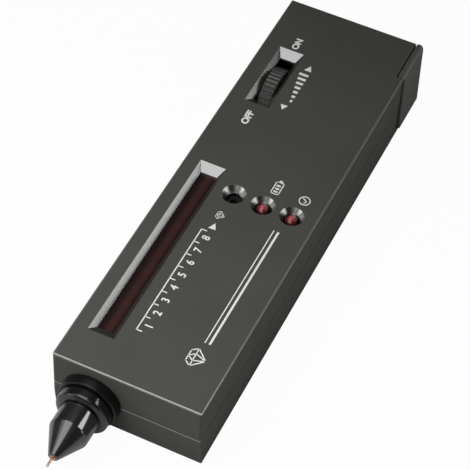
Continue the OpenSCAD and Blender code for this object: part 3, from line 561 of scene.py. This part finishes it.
# %% Probe mouldings
# Corners are a radius and a distance out of the front wall; the second list cuts them back. The hollow
# round the spring, inside the nose, is given by its radius and how far out it reaches.
TUBE_HOLE = 3.6
LIP_R = 7.0
NECK_R = 5.6
NECK_BACK = -2.82
GROOVE_R = 6.05
SLOPE_START = 5.5
SLOPE_R = 5.6
CONE_START = 11.8
TIP_R = 1.25
SPRING_ROOM = (2.4, 14.1)
BUSH_STEP = 16.9
BUSH_SEAT_R = 0.8
collar_profile = softened([
    (TUBE_HOLE, COLLAR_BACK), (LIP_R, COLLAR_BACK), (LIP_R, NECK_BACK), (NECK_R, NECK_BACK),
    (NECK_R, 0.0), (COLLAR_R, 0.0), (COLLAR_R, COLLAR_FRONT), (TUBE_HOLE, COLLAR_FRONT),
], [0.1, 0.1, 0.1, 0.1, 0.02, 0.15, 0.5, 0.05])
ring_profile = softened([
    (TUBE_HOLE, RING_BACK), (GROOVE_R, RING_BACK), (GROOVE_R, GROOVE_END), (RING_R, GROOVE_END),
    (RING_R, SLOPE_START), (SLOPE_R, RING_FRONT), (TUBE_HOLE, RING_FRONT),
], [0.05, 0.05, 0.08, 0.15, 0.4, 0.15, 0.05])
nose_profile = softened([
    (TUBE_HOLE, NOSE_BACK), (NOSE_R, NOSE_BACK), (NOSE_R, CONE_START), (TIP_R, NOSE_FRONT),
    (BUSH_SEAT_R, NOSE_FRONT), (BUSH_SEAT_R, BUSH_STEP), (TIP_R, BUSH_STEP), (TIP_R, SPRING_ROOM[1]),
    SPRING_ROOM, (SPRING_ROOM[0], CONE_START), (TUBE_HOLE, CONE_START),
], [0.05, 0.2, 0.3, 0.15, 0.03, 0.03, 0.03, 0.03, 0.03, 0.03, 0.03])
mouldings = {"probe_collar": collar_profile, "probe_ring": ring_profile, "probe_nose": nose_profile}
for part, profile in mouldings.items():
    piece(part + "_turned", looped(turned(profile, PROBE_AT, OUT)), "case", probe_black.material,
          (part,))

# %% [markdown]
# ## Copper bush, pin and spring
#
# The pin is drawn copper wire with a collar that the spring pushes on, and its blunt end has gone
# grey with use. A bush of the same copper guides it out of the nose. The spring is a helix: a small
# circle carried along a screw line. It gets shorter as the pin is pressed.

# %% Copper finish
PIN_BACK, PIN_END, HEAD_R = probe_span("probe_pin")
WORN_L = 1.0
copper = Finish("copper", 0.3, Metallic=1.0)
tarnish = copper.noise(0.5, 3.0)
worn = copper.y.within(FRONT_Y - PIN_END + WORN_L, 0.3)
bright = tarnish.mix(colour(0.66, 0.38, 0.24), colour(0.44, 0.24, 0.15))
copper.set("Base Color", worn.mix(bright, colour(0.5, 0.46, 0.43)))
copper.set("Roughness", tarnish.between(0.22, 0.4))
copper.bump(copper.noise(0.08, 1.0, (1.0, 8.0, 1.0)), 0.004, 0.5)
print("copper finish ready")

# %% Pin and bush
# The pin's profile starts and ends a hair off its axis, where the caps close it.
HAIR = 0.001
PIN_R = 0.3
BLUNT_R = 0.14
BLUNT_L = 0.25
HEAD = (15.2, 16.05)
pin_profile = softened([
    (HAIR, PIN_BACK), (PIN_R, PIN_BACK), (PIN_R, HEAD[0]), (HEAD_R, HEAD[0]), (HEAD_R, HEAD[1]),
    (PIN_R, HEAD[1]), (PIN_R, PIN_END - BLUNT_L), (BLUNT_R, PIN_END), (HAIR, PIN_END),
], [HAIR / 2, 0.03, 0.03, 0.06, 0.06, 0.03, 0.1, 0.06, HAIR / 2])
piece("probe_pin_turned", capped(turned(pin_profile, PROBE_AT, OUT, 32)), "pin", copper.material,
      ("probe_pin",))

BUSH_BACK, BUSH_FRONT, BUSH_R = probe_span("tip_bush")
BUSH_HOLE = 0.35
BUSH_NECK = 0.75
bush_profile = softened([
    (BUSH_HOLE, BUSH_BACK), (BUSH_R, BUSH_BACK), (BUSH_R, BUSH_STEP), (BUSH_NECK, BUSH_STEP),
    (BUSH_NECK, BUSH_FRONT), (BUSH_HOLE, BUSH_FRONT),
], [0.02, 0.05, 0.05, 0.02, 0.09, 0.06])
piece("tip_bush_turned", looped(turned(bush_profile, PROBE_AT, OUT, 48)), "case", copper.material,
      ("tip_bush",))

# %% Spring
SEAT = probe_span("spring_seat")[1]
TURNS = 9
WIRE_R = 0.16
COIL_R = 0.89
END_GAP = 0.21
press = next(joint for joint in frame["joints"] if joint["name"] == "pin_press")
PIN_TRAVEL = press["range_m"][1] / MM


def helix(radius, wire, start, end, turns, steps=40, sides=10):
    """A circle of the wire's radius carried along a screw line: the centre goes round at the coil's
    radius while it moves from start to end; the circle's two axes are the outward and axial ways."""
    t = np.linspace(0.0, 1.0, turns * steps + 1)[:, None, None]
    angle = 2 * np.pi * turns * t
    way = np.linspace(0.0, 2 * np.pi, sides, endpoint=False)[None, :, None]
    reach = radius + wire * np.cos(way)
    along = start + (end - start) * t + wire * np.sin(way)
    return PROBE_AT + np.concatenate((reach * np.cos(angle), -along, reach * np.sin(angle)), axis=2)


spring_steel = Finish("spring_steel", 0.3, Metallic=1.0)
spring_drawn = spring_steel.noise(0.3, 2.0)
spring_steel.set("Roughness", spring_drawn.between(0.22, 0.42))
spring_steel.set("Base Color", spring_drawn.mix(colour(0.42, 0.42, 0.43), colour(0.6, 0.6, 0.6)))
coil = helix(COIL_R, WIRE_R, SEAT + END_GAP, HEAD[0] - END_GAP, TURNS)
spring = piece(
    "pin_spring_coil", capped(coil), "case", spring_steel.material, ("pin_spring",),
)
SPRING_L = HEAD[0] - SEAT
(SPRING_L - PIN_TRAVEL) / SPRING_L
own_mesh(spring)

# %% [markdown]
# ## The thumb wheel
#
# The wheel is a black moulding with forty rounded ribs across its rim, dished on the side of its
# screw. The grid's rows run round the wheel's own cross-section and its columns round the axle. The
# ribs are a ripple in the radius, and a weight fades the ripple out from the rim to the faces.

# %% Thumb wheel
WHEEL_R = 8.49
WHEEL_HALF = (WHEEL_HIGH[0] - WHEEL_LOW[0]) / 2
BORE_R = 2.06
DISH_R = 6.7
DISH_X = 1.05
HUB_R = 3.0
HUB_X = 0.25
RIBS = 40
RIB_H = 0.36
RIM_FADE = 0.45
wheel_black = Finish("wheel_black", 0.45)
wheel_grain = wheel_black.noise(0.25, 2.0)
wheel_shade = wheel_grain.mix(colour(0.043, 0.043, 0.039), colour(0.06, 0.06, 0.055))
wheel_black.set("Base Color", wheel_shade)
wheel_black.set("Roughness", wheel_grain.between(0.4, 0.55))
wheel_black.bump(wheel_grain, 0.006, 0.3)


def ribbed_wheel(steps=720):
    """A closed cross-section carried round the axle. The radius at the rim is lowered by the ribs'
    height times a ripple, a cosine lifted to run from 0 to 1, and less so away from the rim."""
    section = softened([
        (BORE_R, -WHEEL_HALF), (WHEEL_R, -WHEEL_HALF), (WHEEL_R, WHEEL_HALF), (DISH_R, WHEEL_HALF),
        (DISH_R, DISH_X), (HUB_R, DISH_X), (HUB_R, HUB_X), (BORE_R, HUB_X),
    ], [0.02, 0.4, 0.4, 0.1, 0.1, 0.05, 0.05, 0.02])
    grid = turned(section, WHEEL_AT, (1.0, 0.0, 0.0), steps)
    angle = np.linspace(0.0, 2 * np.pi, steps, endpoint=False)
    ripple = 0.5 - 0.5 * np.cos(RIBS * angle)
    weight = np.clip((section[:, 0] - (WHEEL_R - RIM_FADE)) / RIM_FADE, 0.0, 1.0) ** 0.5
    offset = grid - WHEEL_AT
    radial = offset * (0.0, 1.0, 1.0)
    shrink = 1.0 - RIB_H * weight[:, None] * ripple[None] / np.maximum(section[:, :1], 1.0)
    return WHEEL_AT + offset * (1.0, 0.0, 0.0) + radial * shrink[:, :, None]


piece("thumb_wheel_ribbed", looped(ribbed_wheel()), "wheel", wheel_black.material,
      ("thumb_wheel",), sharp=50.0)

# %% [markdown]
# ## Round lamps
#
# Two clear red lamps look out of the countersunk holes. Unlit, they are dark red, and their one soft
# spot of light is painted paler in the middle, as a highlight. Each is a dome on a short cylinder with
# a flange and two legs to the board. The red is painted deeper towards the rim, as shade.

# %% Lamp shapes
LAMP_TOP = LAMP_HIGH[2]
BOARD_Z = LAMP_LOW[2]
FLANGE_R = (LAMP_HIGH[0] - LAMP_LOW[0]) / 2
LAMP_R = 1.7
FLANGE_SOFT = 0.05
LAMP_BASE = 15.2
FLANGE_H = 1.0
FLANGE_TOP = LAMP_BASE + FLANGE_H
LEG_AWAY = 1.27
LEG_HALF = 0.25
LEG_INTO = 0.1
BAR_SOFT = 0.08
# The dome stops an angle short of its pole, and the base starts just off the axis: caps close both.
DOME_STOP = 0.02
AXIS_GAP = 0.02


def bar(low, high):
    """A box with soft edges along its height: a softened rectangle carried from bottom to top."""
    corners = [(low[0], low[1]), (high[0], low[1]), (high[0], high[1]), (low[0], high[1])]
    return raised(softened(corners, BAR_SOFT, 4), low[2], high[2])


def round_lamp(x):
    """Dome, body and flange turned about Z: the dome is a quarter circle in (radius, height). A bar on
    each side is a leg down to the board."""
    angle = np.linspace(0.0, 0.5 * np.pi - DOME_STOP, 20)
    dome = np.stack((LAMP_R * np.cos(angle), LAMP_TOP - LAMP_R + LAMP_R * np.sin(angle)), axis=1)
    foot = np.array((
        (AXIS_GAP, LAMP_BASE), (FLANGE_R - FLANGE_SOFT, LAMP_BASE), (FLANGE_R, LAMP_BASE + FLANGE_SOFT),
        (FLANGE_R, FLANGE_TOP - FLANGE_SOFT), (FLANGE_R - FLANGE_SOFT, FLANGE_TOP), (LAMP_R, FLANGE_TOP),
    ))
    profile = np.concatenate((foot, dome))
    body = capped(turned(profile, np.array((x, HOLES_Y, 0.0)), (0.0, 0.0, 1.0), 64))
    legs = []
    for middle in (x - LEG_AWAY, x + LEG_AWAY):
        low = (middle - LEG_HALF, HOLES_Y - LEG_HALF, BOARD_Z)
        high = (middle + LEG_HALF, HOLES_Y + LEG_HALF, LAMP_BASE + LEG_INTO)
        legs.append(bar(low, high))
    return joined(body, *legs)


print("lamps", LAMP_TOP - BOARD_Z, "mm high with their legs")


# %% Lamp resin
def lamp_resin(name, x):
    """Red resin, painted darker away from the lamp's axis as shade and paler in the middle as a highlight."""
    made = Finish(name, 0.12, IOR=1.5, Coat_Weight=0.15, Coat_Roughness=0.05)
    away = from_axis(made, x)
    cloud = made.noise(0.8, 2.0)
    # The rim is painted darker red, as shade, and the middle paler, as a painted highlight.
    rim = (1.0 - away.within(1.3, 1.1)) * cloud.between(0.8, 1.1)
    middle = away.within(0.3, 0.3)
    red = rim.mix(colour(0.28, 0.027, 0.032), colour(0.036, 0.003, 0.004))
    made.set("Base Color", middle.mix(red, colour(0.52, 0.13, 0.15)))
    made.set("Roughness", cloud.between(0.16, 0.28))
    return made.material


for part, x in (("battery_lamp", HOLES_X[1]), ("ready_lamp", HOLES_X[2])):
    resin = lamp_resin(part + "_resin", x)
    piece(part + "_domed", round_lamp(x), "case", resin, (part,), sharp=60.0)

# %% [markdown]
# ## Red window
#
# A strip of dark red plastic lies under the window and hides the bar of lamps until they light. It
# is nearly black, with a redder streak along the lamps. A see-through strip would show the inside of
# the case; an opaque one with the streak painted by place gives the same look and is simpler.

# %% Red window strip
STREAK_SHIFT = 0.3
STREAK_HALF = 0.9
STREAK_SOFT = 0.8
red_filter = Finish("red_filter", 0.1, IOR=1.45)
streak = abs(red_filter.x - (FILTER_AT[0] + STREAK_SHIFT)).within(STREAK_HALF, STREAK_SOFT)
cloud = red_filter.noise(2.5, 2.0)
red_filter.set("Base Color", (streak * cloud.between(0.6, 1.2)).mix(
    colour(0.019, 0.0108, 0.0094), colour(0.057, 0.0245, 0.022)
))
red_filter.set("Roughness", cloud.between(0.08, 0.2))
red_filter.bump(red_filter.noise(3.0, 1.0), 0.01, 0.3)
piece("window_filter_strip", bar(FILTER_LOW, FILTER_HIGH), "case", red_filter.material,
      ("window_filter",))

# %% [markdown]
# ## White print
#
# The scale, its numbers and the marks round the wheel are screen printed in white. Ink is a thin
# layer with a thickness of its own, so each mark is a flat solid a few hundredths of a millimetre
# high. Lines are thin boxes, marks are outlines carried upwards, and the numbers come from Blender's
# own font, made into a mesh before they are put in place.

# %% Ink and flat marks
INK_T = 0.02
ink = Finish("white_ink", 0.5)
ink_cover = ink.noise(0.6, 3.0)
ink.set("Base Color", ink_cover.mix(colour(0.86, 0.87, 0.85), colour(0.95, 0.96, 0.94)))
ink.set("Roughness", ink_cover.between(0.42, 0.58))


def plate(outline):
    """An outline in X and Y carried up through the top face, from just below it to the ink's height."""
    return raised(np.asarray(outline, dtype=float), TOP_Z - INK_T, TOP_Z + INK_T)


def strip(start, end, width):
    """A straight line of ink: the outline is the line moved half its width to both sides."""
    start, end = np.asarray(start, dtype=float), np.asarray(end, dtype=float)
    way = (end - start) / np.linalg.norm(end - start)
    side = np.array((-way[1], way[0])) * width / 2
    return plate(np.array((start + side, start - side, end - side, end + side)))


def mark(name, *shapes):
    """Flat shapes of ink as one printed piece."""
    return piece(name, joined(*shapes), "case", ink.material)


SCALE_X = -5.05
TICK_X = -3.6
TICK_START = FRONT_Y + 14.9
TICK_PITCH = 4.29
TICK_COUNT = 9
LINE_W = 0.3
TICKS = TICK_START + TICK_PITCH * np.arange(TICK_COUNT)
ticks = [strip((SCALE_X, y), (TICK_X, y), LINE_W) for y in TICKS]
spine = strip((SCALE_X, TICKS[0] - LINE_W / 2), (SCALE_X, TICKS[-1] + LINE_W / 2), LINE_W)
mark("scale_line", spine, *ticks)

# %% Arrow marks
ARROWS = {
    "scale_arrow": ((-3.81, 50.3), (-1.88, 50.4), (-2.85, 52.4)),
    "louder_arrow": ((-5.27, 110.5), (-3.23, 110.5), (-4.16, 112.6)),
    "softer_arrow": ((-5.53, 96.5), (-4.48, 94.7), (-3.59, 96.6)),
}
for name, corners in ARROWS.items():
    mark(name, plate(np.array(corners) + (0.0, FRONT_Y)))

# %% Loudness bars
LOUD_FOOT = -3.3
LOUD_STEPS = 7
LOUD_START = FRONT_Y + 98.6
LOUD_PITCH = 1.7
LOUD_FIRST = 0.6
LOUD_GROWTH = 0.33
LOUD_W = 0.85
loud_bars = []
for i in range(LOUD_STEPS):
    y = LOUD_START + LOUD_PITCH * i
    head = LOUD_FOOT - LOUD_FIRST - LOUD_GROWTH * i
    loud_bars.append(strip((LOUD_FOOT, y), (head, y), LOUD_W))
mark("loudness_bars", *loud_bars)


# %% Numbers and switch words
def lettering(name, words, middle, high, heavy, narrow):
    """Printed words that run along +Y with their tops towards -X. The font's outline, made heavier,
    becomes a mesh, which is scaled to its height, narrowed or widened, turned a quarter and put on the
    top face."""
    curve = bpy.data.curves.new(name, "FONT")
    curve.body = words
    curve.size = 1.0
    curve.extrude = 0.01
    curve.offset = heavy
    source = bpy.data.objects.new(name + "_outline", curve)
    bpy.context.scene.collection.objects.link(source)
    bpy.context.view_layer.update()
    seen = source.evaluated_get(bpy.context.evaluated_depsgraph_get())
    mesh = bpy.data.meshes.new_from_object(seen)
    bpy.data.objects.remove(source)
    count = len(mesh.vertices)
    flat = np.zeros(count * 3)
    mesh.vertices.foreach_get("co", flat)
    flat = flat.reshape(-1, 3)
    low, top = flat.min(0), flat.max(0)
    flat = (flat - (low + top) / 2) * high / (top - low)[1]
    upward = np.sign(flat[:, 2]) * INK_T
    across = middle[0] - flat[:, 1]
    along = middle[1] + flat[:, 0] * narrow
    placed = np.stack((across, along, TOP_Z + upward), axis=1) * MM
    mesh.vertices.foreach_set("co", placed.ravel())
    mesh.update()
    mesh.materials.clear()
    mesh.materials.append(ink.material)
    made = bpy.data.objects.new(name, mesh)
    bpy.context.scene.collection.objects.link(made)
    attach(made, "case")
    print(name, "printed with", count, "points")


NUMBER_X = -2.9
NUMBER_START = FRONT_Y + 17.0
NUMBER_PITCH = 4.31
for number in range(1, 9):
    middle = (NUMBER_X, NUMBER_START + NUMBER_PITCH * (number - 1))
    lettering("scale_number_%d" % number, str(number), middle, high=2.1, heavy=0.02, narrow=0.9)
lettering("switch_on", "ON", (-10.75, FRONT_Y + 118.45), high=1.9, heavy=0.05, narrow=1.1)
lettering("switch_off", "OFF", (-11.1, FRONT_Y + 88.2), high=2.0, heavy=0.05, narrow=1.1)


# %% Shapes for the signs
def outline_strips(corners, width, closed=True):
    """Strips of ink along the sides of an outline, each made half a width longer at both ends."""
    corners = np.asarray(corners, dtype=float)
    ends = np.roll(corners, -1, axis=0)
    count = len(corners) if closed else len(corners) - 1
    strips = []
    for start, end in zip(corners[:count], ends[:count]):
        more = (end - start) / np.linalg.norm(end - start) * width / 2
        strips.append(strip(start - more, end + more, width))
    return strips


def ring_of_ink(centre, radius, width, steps=48):
    """A flat ring: a small rectangle of the line's width and the ink's thickness, turned about Z."""
    inner, outer = radius - width / 2, radius + width / 2
    low, high = TOP_Z - INK_T, TOP_Z + INK_T
    section = ((inner, low), (outer, low), (outer, high), (inner, high))
    return looped(turned(section, np.array((centre[0], centre[1], 0.0)), (0.0, 0.0, 1.0), steps))


def gem(tip, size):
    """A cut stone seen from the side, its point towards +X: table, crown, girdle and pavilion."""
    x, y = tip
    half, shoulder, inner = 0.5 * size, 0.3 * size, 0.2 * size
    table, girdle, point = x - 0.8 * size, x - 0.53 * size, x
    rim = [(table, y - shoulder), (table, y + shoulder), (girdle, y + half),
           (point, y), (girdle, y - half)]
    facets = [((girdle, y - half), (girdle, y + half))]
    for end in ((point, y), (table, y)):
        facets += [((girdle, y - inner), end), ((girdle, y + inner), end)]
    width = 0.055 * size
    return outline_strips(rim, width) + [strip(a, b, width) for a, b in facets]


print("ink is", INK_T, "mm high")

# %% Small signs
# The battery and the tick are drawn about their own middles and moved to their places beside the holes.
SIGN_W = 0.28
BATTERY_SIGN_AT = np.array((HOLES_X[1] + 0.9, 2.9))
JACKET = np.array(((-1.0, -2.0), (-1.0, 2.0), (1.0, 2.0), (1.0, -2.0)))
STUD = np.array(((0.0, 2.1), (0.0, 2.65)))
STUD_W = 0.8
CELL = np.array(((-0.55, 0.0), (0.55, 0.0)))
CELL_W = 0.55
CELLS_Y = (-1.2, -0.2, 0.8)
jacket = outline_strips(BATTERY_SIGN_AT + JACKET, SIGN_W)
stud = strip(*(BATTERY_SIGN_AT + STUD), STUD_W)
cells = [strip(*(BATTERY_SIGN_AT + CELL + (0.0, y)), CELL_W) for y in CELLS_Y]
mark("battery_sign", *jacket, stud, *cells)

READY_SIGN_AT = np.array((HOLES_X[2] + 0.8, 2.2))
TICK = np.array(((0.05, -0.65), (0.6, -0.15), (-0.6, 0.65)))
TICK_RING_R = 1.35
tick = outline_strips(READY_SIGN_AT + TICK, SIGN_W, False)
mark("ready_sign", ring_of_ink(READY_SIGN_AT, TICK_RING_R, SIGN_W), *tick)

# %% Stones and stripes
# A stone is its point in X and Y and its size; a stripe is its X and its width.
GEMS = {"scale_gem": ((-1.8, FRONT_Y + 55.2), 2.6), "case_gem": ((13.2, -53.0), 5.4)}
STRIPES = ((11.9, 0.55), (10.7, 0.28))
STRIPE_START, STRIPE_END = -48.2, -10.0
for name, (point, size) in GEMS.items():
    mark(name, *gem(point, size))
mark("case_stripes", *(strip((x, STRIPE_START), (x, STRIPE_END), width) for x, width in STRIPES))

# %% [markdown]
# ## Inside pieces
#
# The boards, chips, battery and wires are hidden until the cover slides open, but a part in a
# library may be opened up. Their solids stay, and each gets a finish: moulded plastic with a grain,
# metal that was drawn or turned, lacquered board, a printed battery jacket and foam.


# %% Plastic and metal
def moulded(name, dark, light, roughness, grain_mm):
    """Plain moulded plastic: a grain mixes two shades, varies the gloss and dents the surface."""
    made = Finish(name, roughness)
    grain = made.noise(grain_mm, 3.0)
    made.set("Base Color", grain.mix(dark, light))
    made.set("Roughness", grain.between(roughness - 0.08, roughness + 0.08))
    made.bump(grain, 0.01, 0.4)
    return made.material


def metal(name, dark, light, roughness, stretch):
    """Bare metal with the fine lines of its making, drawn out along one axis."""
    made = Finish(name, roughness, Metallic=1.0)
    lines = made.noise(0.15, 3.0, stretch)
    made.set("Base Color", lines.mix(dark, light))
    made.set("Roughness", lines.between(roughness - 0.1, roughness + 0.12))
    made.bump(lines, 0.004, 0.4)
    return made.material


print("plastic and metal ready")


# %% Board, battery and foam
# Length of the battery's light band in millimetres, and the number of foam cells in a metre.
BAND_L = 14.0
FOAM_CELLS = 2200.0


def lacquered_board(name):
    """Green lacquer over copper tracks: bands of noise lines show as lighter tracks."""
    made = Finish(name, 0.3, Coat_Weight=0.3)
    across = made.noise(3.0, 1.0, (0.3, 3.0, 1.0))
    track = abs(across - 0.5).within(0.04, 0.01)
    weave = made.noise(0.4, 2.0)
    green = weave.mix(colour(0.012, 0.085, 0.03), colour(0.02, 0.12, 0.045))
    made.set("Base Color", track.mix(green, colour(0.04, 0.2, 0.08)))
    made.set("Roughness", weave.between(0.25, 0.4))
    made.bump(track, 0.03, 0.5)
    return made.material


def battery_jacket(name):
    """Metal jacket in two colours: a dark body and a lighter band at the end with the studs."""
    made = Finish(name, 0.35, Metallic=0.6)
    rubbed = made.noise(0.2, 3.0, (1.0, 12.0, 1.0))
    band = made.y.within(corners_mm("battery")[0][1] + BAND_L, 0.1)
    body = rubbed.mix(colour(0.05, 0.055, 0.065), colour(0.09, 0.095, 0.11))
    light = rubbed.mix(colour(0.34, 0.3, 0.22), colour(0.46, 0.41, 0.3))
    made.set("Base Color", band.mix(body, light))
    made.set("Roughness", rubbed.between(0.28, 0.45))
    made.bump(rubbed, 0.004, 0.3)
    return made.material


def foam(name):
    """Grey foam: small cells dent the surface and darken it."""
    made = Finish(name, 0.9)
    cell = made.place.node("ShaderNodeTexVoronoi", None, {"Vector": made.place, "Scale": FOAM_CELLS})
    made.set("Base Color", cell.mix(colour(0.16, 0.16, 0.16), colour(0.07, 0.07, 0.07)))
    made.bump(cell, 0.2, 0.8)
    return made.material


print("board, battery and foam ready")

# %% Dress the inside
# Slot: name of the finish, darker and lighter shade, roughness, size of the grain in millimetres.
PLASTICS = {
    "black_plastic": ("black_plastic", (0.004, 0.004, 0.004), (0.008, 0.008, 0.008), 0.6, 0.3),
    "blue_plastic": ("blue_plastic", (0.015, 0.07, 0.34), (0.024, 0.11, 0.45), 0.35, 0.3),
    "ivory_plastic": ("ivory_plastic", (0.64, 0.6, 0.47), (0.74, 0.7, 0.56), 0.45, 0.4),
    "capacitor_can": ("capacitor_sleeve", (0.02, 0.027, 0.09), (0.034, 0.045, 0.13), 0.3, 0.5),
    "resistor_body": ("resistor_lacquer", (0.48, 0.32, 0.16), (0.6, 0.42, 0.23), 0.4, 0.4),
    "white_ceramic": ("white_ceramic", (0.74, 0.72, 0.66), (0.83, 0.81, 0.75), 0.4, 0.2),
    "wire_grey": ("grey_insulation", (0.08, 0.08, 0.08), (0.12, 0.12, 0.12), 0.5, 0.5),
    "wire_red": ("red_insulation", (0.34, 0.016, 0.016), (0.45, 0.026, 0.024), 0.45, 0.5),
    "wire_yellow": ("yellow_insulation", (0.52, 0.34, 0.02), (0.66, 0.45, 0.04), 0.45, 0.5),
    "lamp_red": ("bar_lamp_red", (0.2, 0.008, 0.012), (0.3, 0.014, 0.018), 0.25, 0.6),
}
inside = {
    slot: moulded(name, colour(*dark), colour(*light), roughness, grain)
    for slot, (name, dark, light, roughness, grain) in PLASTICS.items()
}
inside["steel"] = metal(
    "plated_steel", colour(0.5, 0.5, 0.5), colour(0.66, 0.66, 0.66), 0.3, (1.0, 14.0, 1.0)
)
inside["brass"] = metal(
    "turned_brass", colour(0.58, 0.4, 0.15), colour(0.74, 0.55, 0.25), 0.3, (0.2, 1.0, 1.0)
)
inside["circuit_board"] = lacquered_board("board_lacquer")
inside["battery_jacket"] = battery_jacket("battery_jacket")
inside["foam"] = foam("grey_foam")
for entry in frame["record"]["subparts"]:
    if entry["material_slot"] in inside:
        dress(entry["node"], inside[entry["material_slot"]])
print("finishes for the inside:", len(inside))

# %% [markdown]
# ## Floor, world and lamps
#
# The photograph is a cut-out on plain white, so what the camera and far reflections see of the floor
# is white by itself, and a small part of its true shaded surface is mixed in to keep the shadow. Close
# to the case reflections see the true floor, or the dark walls would shine. Those walls are lit mostly
# by light that the pale table throws back.
#
# A smooth slope mirrors one direction only, so each bright patch in the photograph says where a lamp
# stood: overhead for the far slopes of the recesses, at both sides for the lamp holes, low at the
# right rear for the window's left slope, and high on the right for the streak along the barrel.

# %% Floor
FLOOR_HALF = 6.0
FLOOR_DROP = 0.0002
floor_corners = np.array(((-1, -1, 0), (1, -1, 0), (1, 1, 0), (-1, 1, 0))) * FLOOR_HALF
floor_mesh = bpy.data.meshes.new("floor")
floor_mesh.from_pydata(floor_corners.tolist(), [], [(0, 1, 2, 3)])
floor = bpy.data.objects.new("floor", floor_mesh)
floor.location = (0, 0, -FLOOR_DROP)
bpy.context.scene.collection.objects.link(floor)
print("floor", 2 * FLOOR_HALF, "m wide")

# %% White paper and world
# Reflections see the true floor up to NEAR millimetres from the middle, over a soft step.
NEAR = 900
NEAR_SOFT = 200
WHITE_SHARE = 0.97
TABLE = colour(0.75, 0.75, 0.75)
paper = bpy.data.materials.new("white_paper")
paper.use_nodes = True
paper.node_tree.nodes.clear()
start = Shade(paper.node_tree)
path = {ray: start.node("ShaderNodeLightPath", out=ray)
        for ray in ("Is Camera Ray", "Is Glossy Ray", "Is Transmission Ray")}
spot = start.node("ShaderNodeTexCoord", out="Object")
spot_x, spot_y = (start.node("ShaderNodeSeparateXYZ", None, {0: spot}, out=i) / MM for i in range(2))
beside = abs(spot_x).within(NEAR, NEAR_SOFT) * abs(spot_y).within(NEAR, NEAR_SOFT)
mirrored = (path["Is Glossy Ray"] + path["Is Transmission Ray"]) * (1.0 - beside)
seen_white = (path["Is Camera Ray"] + mirrored) * WHITE_SHARE
matt = start.node("ShaderNodeBsdfDiffuse", None, {"Color": TABLE})
glow = start.node("ShaderNodeEmission", None, {"Color": colour(1, 1, 1), "Strength": 1.0})
both = start.node("ShaderNodeMixShader", None, {0: seen_white, 1: matt, 2: glow})
output = paper.node_tree.nodes.new("ShaderNodeOutputMaterial")
paper.node_tree.links.new(both.socket, output.inputs["Surface"])
floor_mesh.materials.append(paper)

world = bpy.data.worlds.new("studio")
bpy.context.scene.world = world
world.use_nodes = True
room = world.node_tree.nodes["Background"]
room.inputs["Color"].default_value = colour(1.0, 1.0, 1.0)
room.inputs["Strength"].default_value = 0.02
print("white share of the floor:", WHITE_SHARE)


# %% Lamps
def soft_box(name, at, aim, across, along, watts):
    """A flat lamp that faces a point: its width lies square to Y, and its length leans along Y."""
    light = bpy.data.lights.new(name, "AREA")
    light.shape = "RECTANGLE"
    light.size = across
    light.size_y = along
    light.energy = watts
    holder = bpy.data.objects.new(name, light)
    away = np.subtract(at, aim)
    away = away / np.linalg.norm(away)
    side = np.cross((0.0, 1.0, 0.0), away)
    side = side / np.linalg.norm(side)
    holder.matrix_world = standing(at, (side, np.cross(away, side), away))
    holder.visible_camera = False
    bpy.context.scene.collection.objects.link(holder)
    print(name, "lamp of", watts, "W")


MIDDLE = (0.0, 0.0, 0.01)
soft_box("overhead", (-0.046, -0.135, 0.18), (-0.046, -0.135, 0.0), 0.13, 0.29, 0.34)
soft_box("overhead_left", (-0.16, -0.125, 0.18), (-0.16, -0.125, 0.0), 0.09, 0.2, 0.06)
soft_box("left", (-0.4, -0.35, 0.13), MIDDLE, 0.16, 0.34, 0.48)
soft_box("right_back", (0.433, 0.322, 0.095), MIDDLE, 0.1, 0.16, 0.13)
soft_box("right", (0.54, 0.065, 0.15), MIDDLE, 0.12, 0.32, 0.3)
soft_box("front", (0.0, -0.3, 0.28), (0.0, -0.06, 0.01), 0.26, 0.08, 0.19)
soft_box("high", (0.4, 0.198, 0.259), (0.0, -0.03, 0.01), 0.28, 0.045, 0.29)
bpy.context.scene.view_settings.view_transform = "Standard"
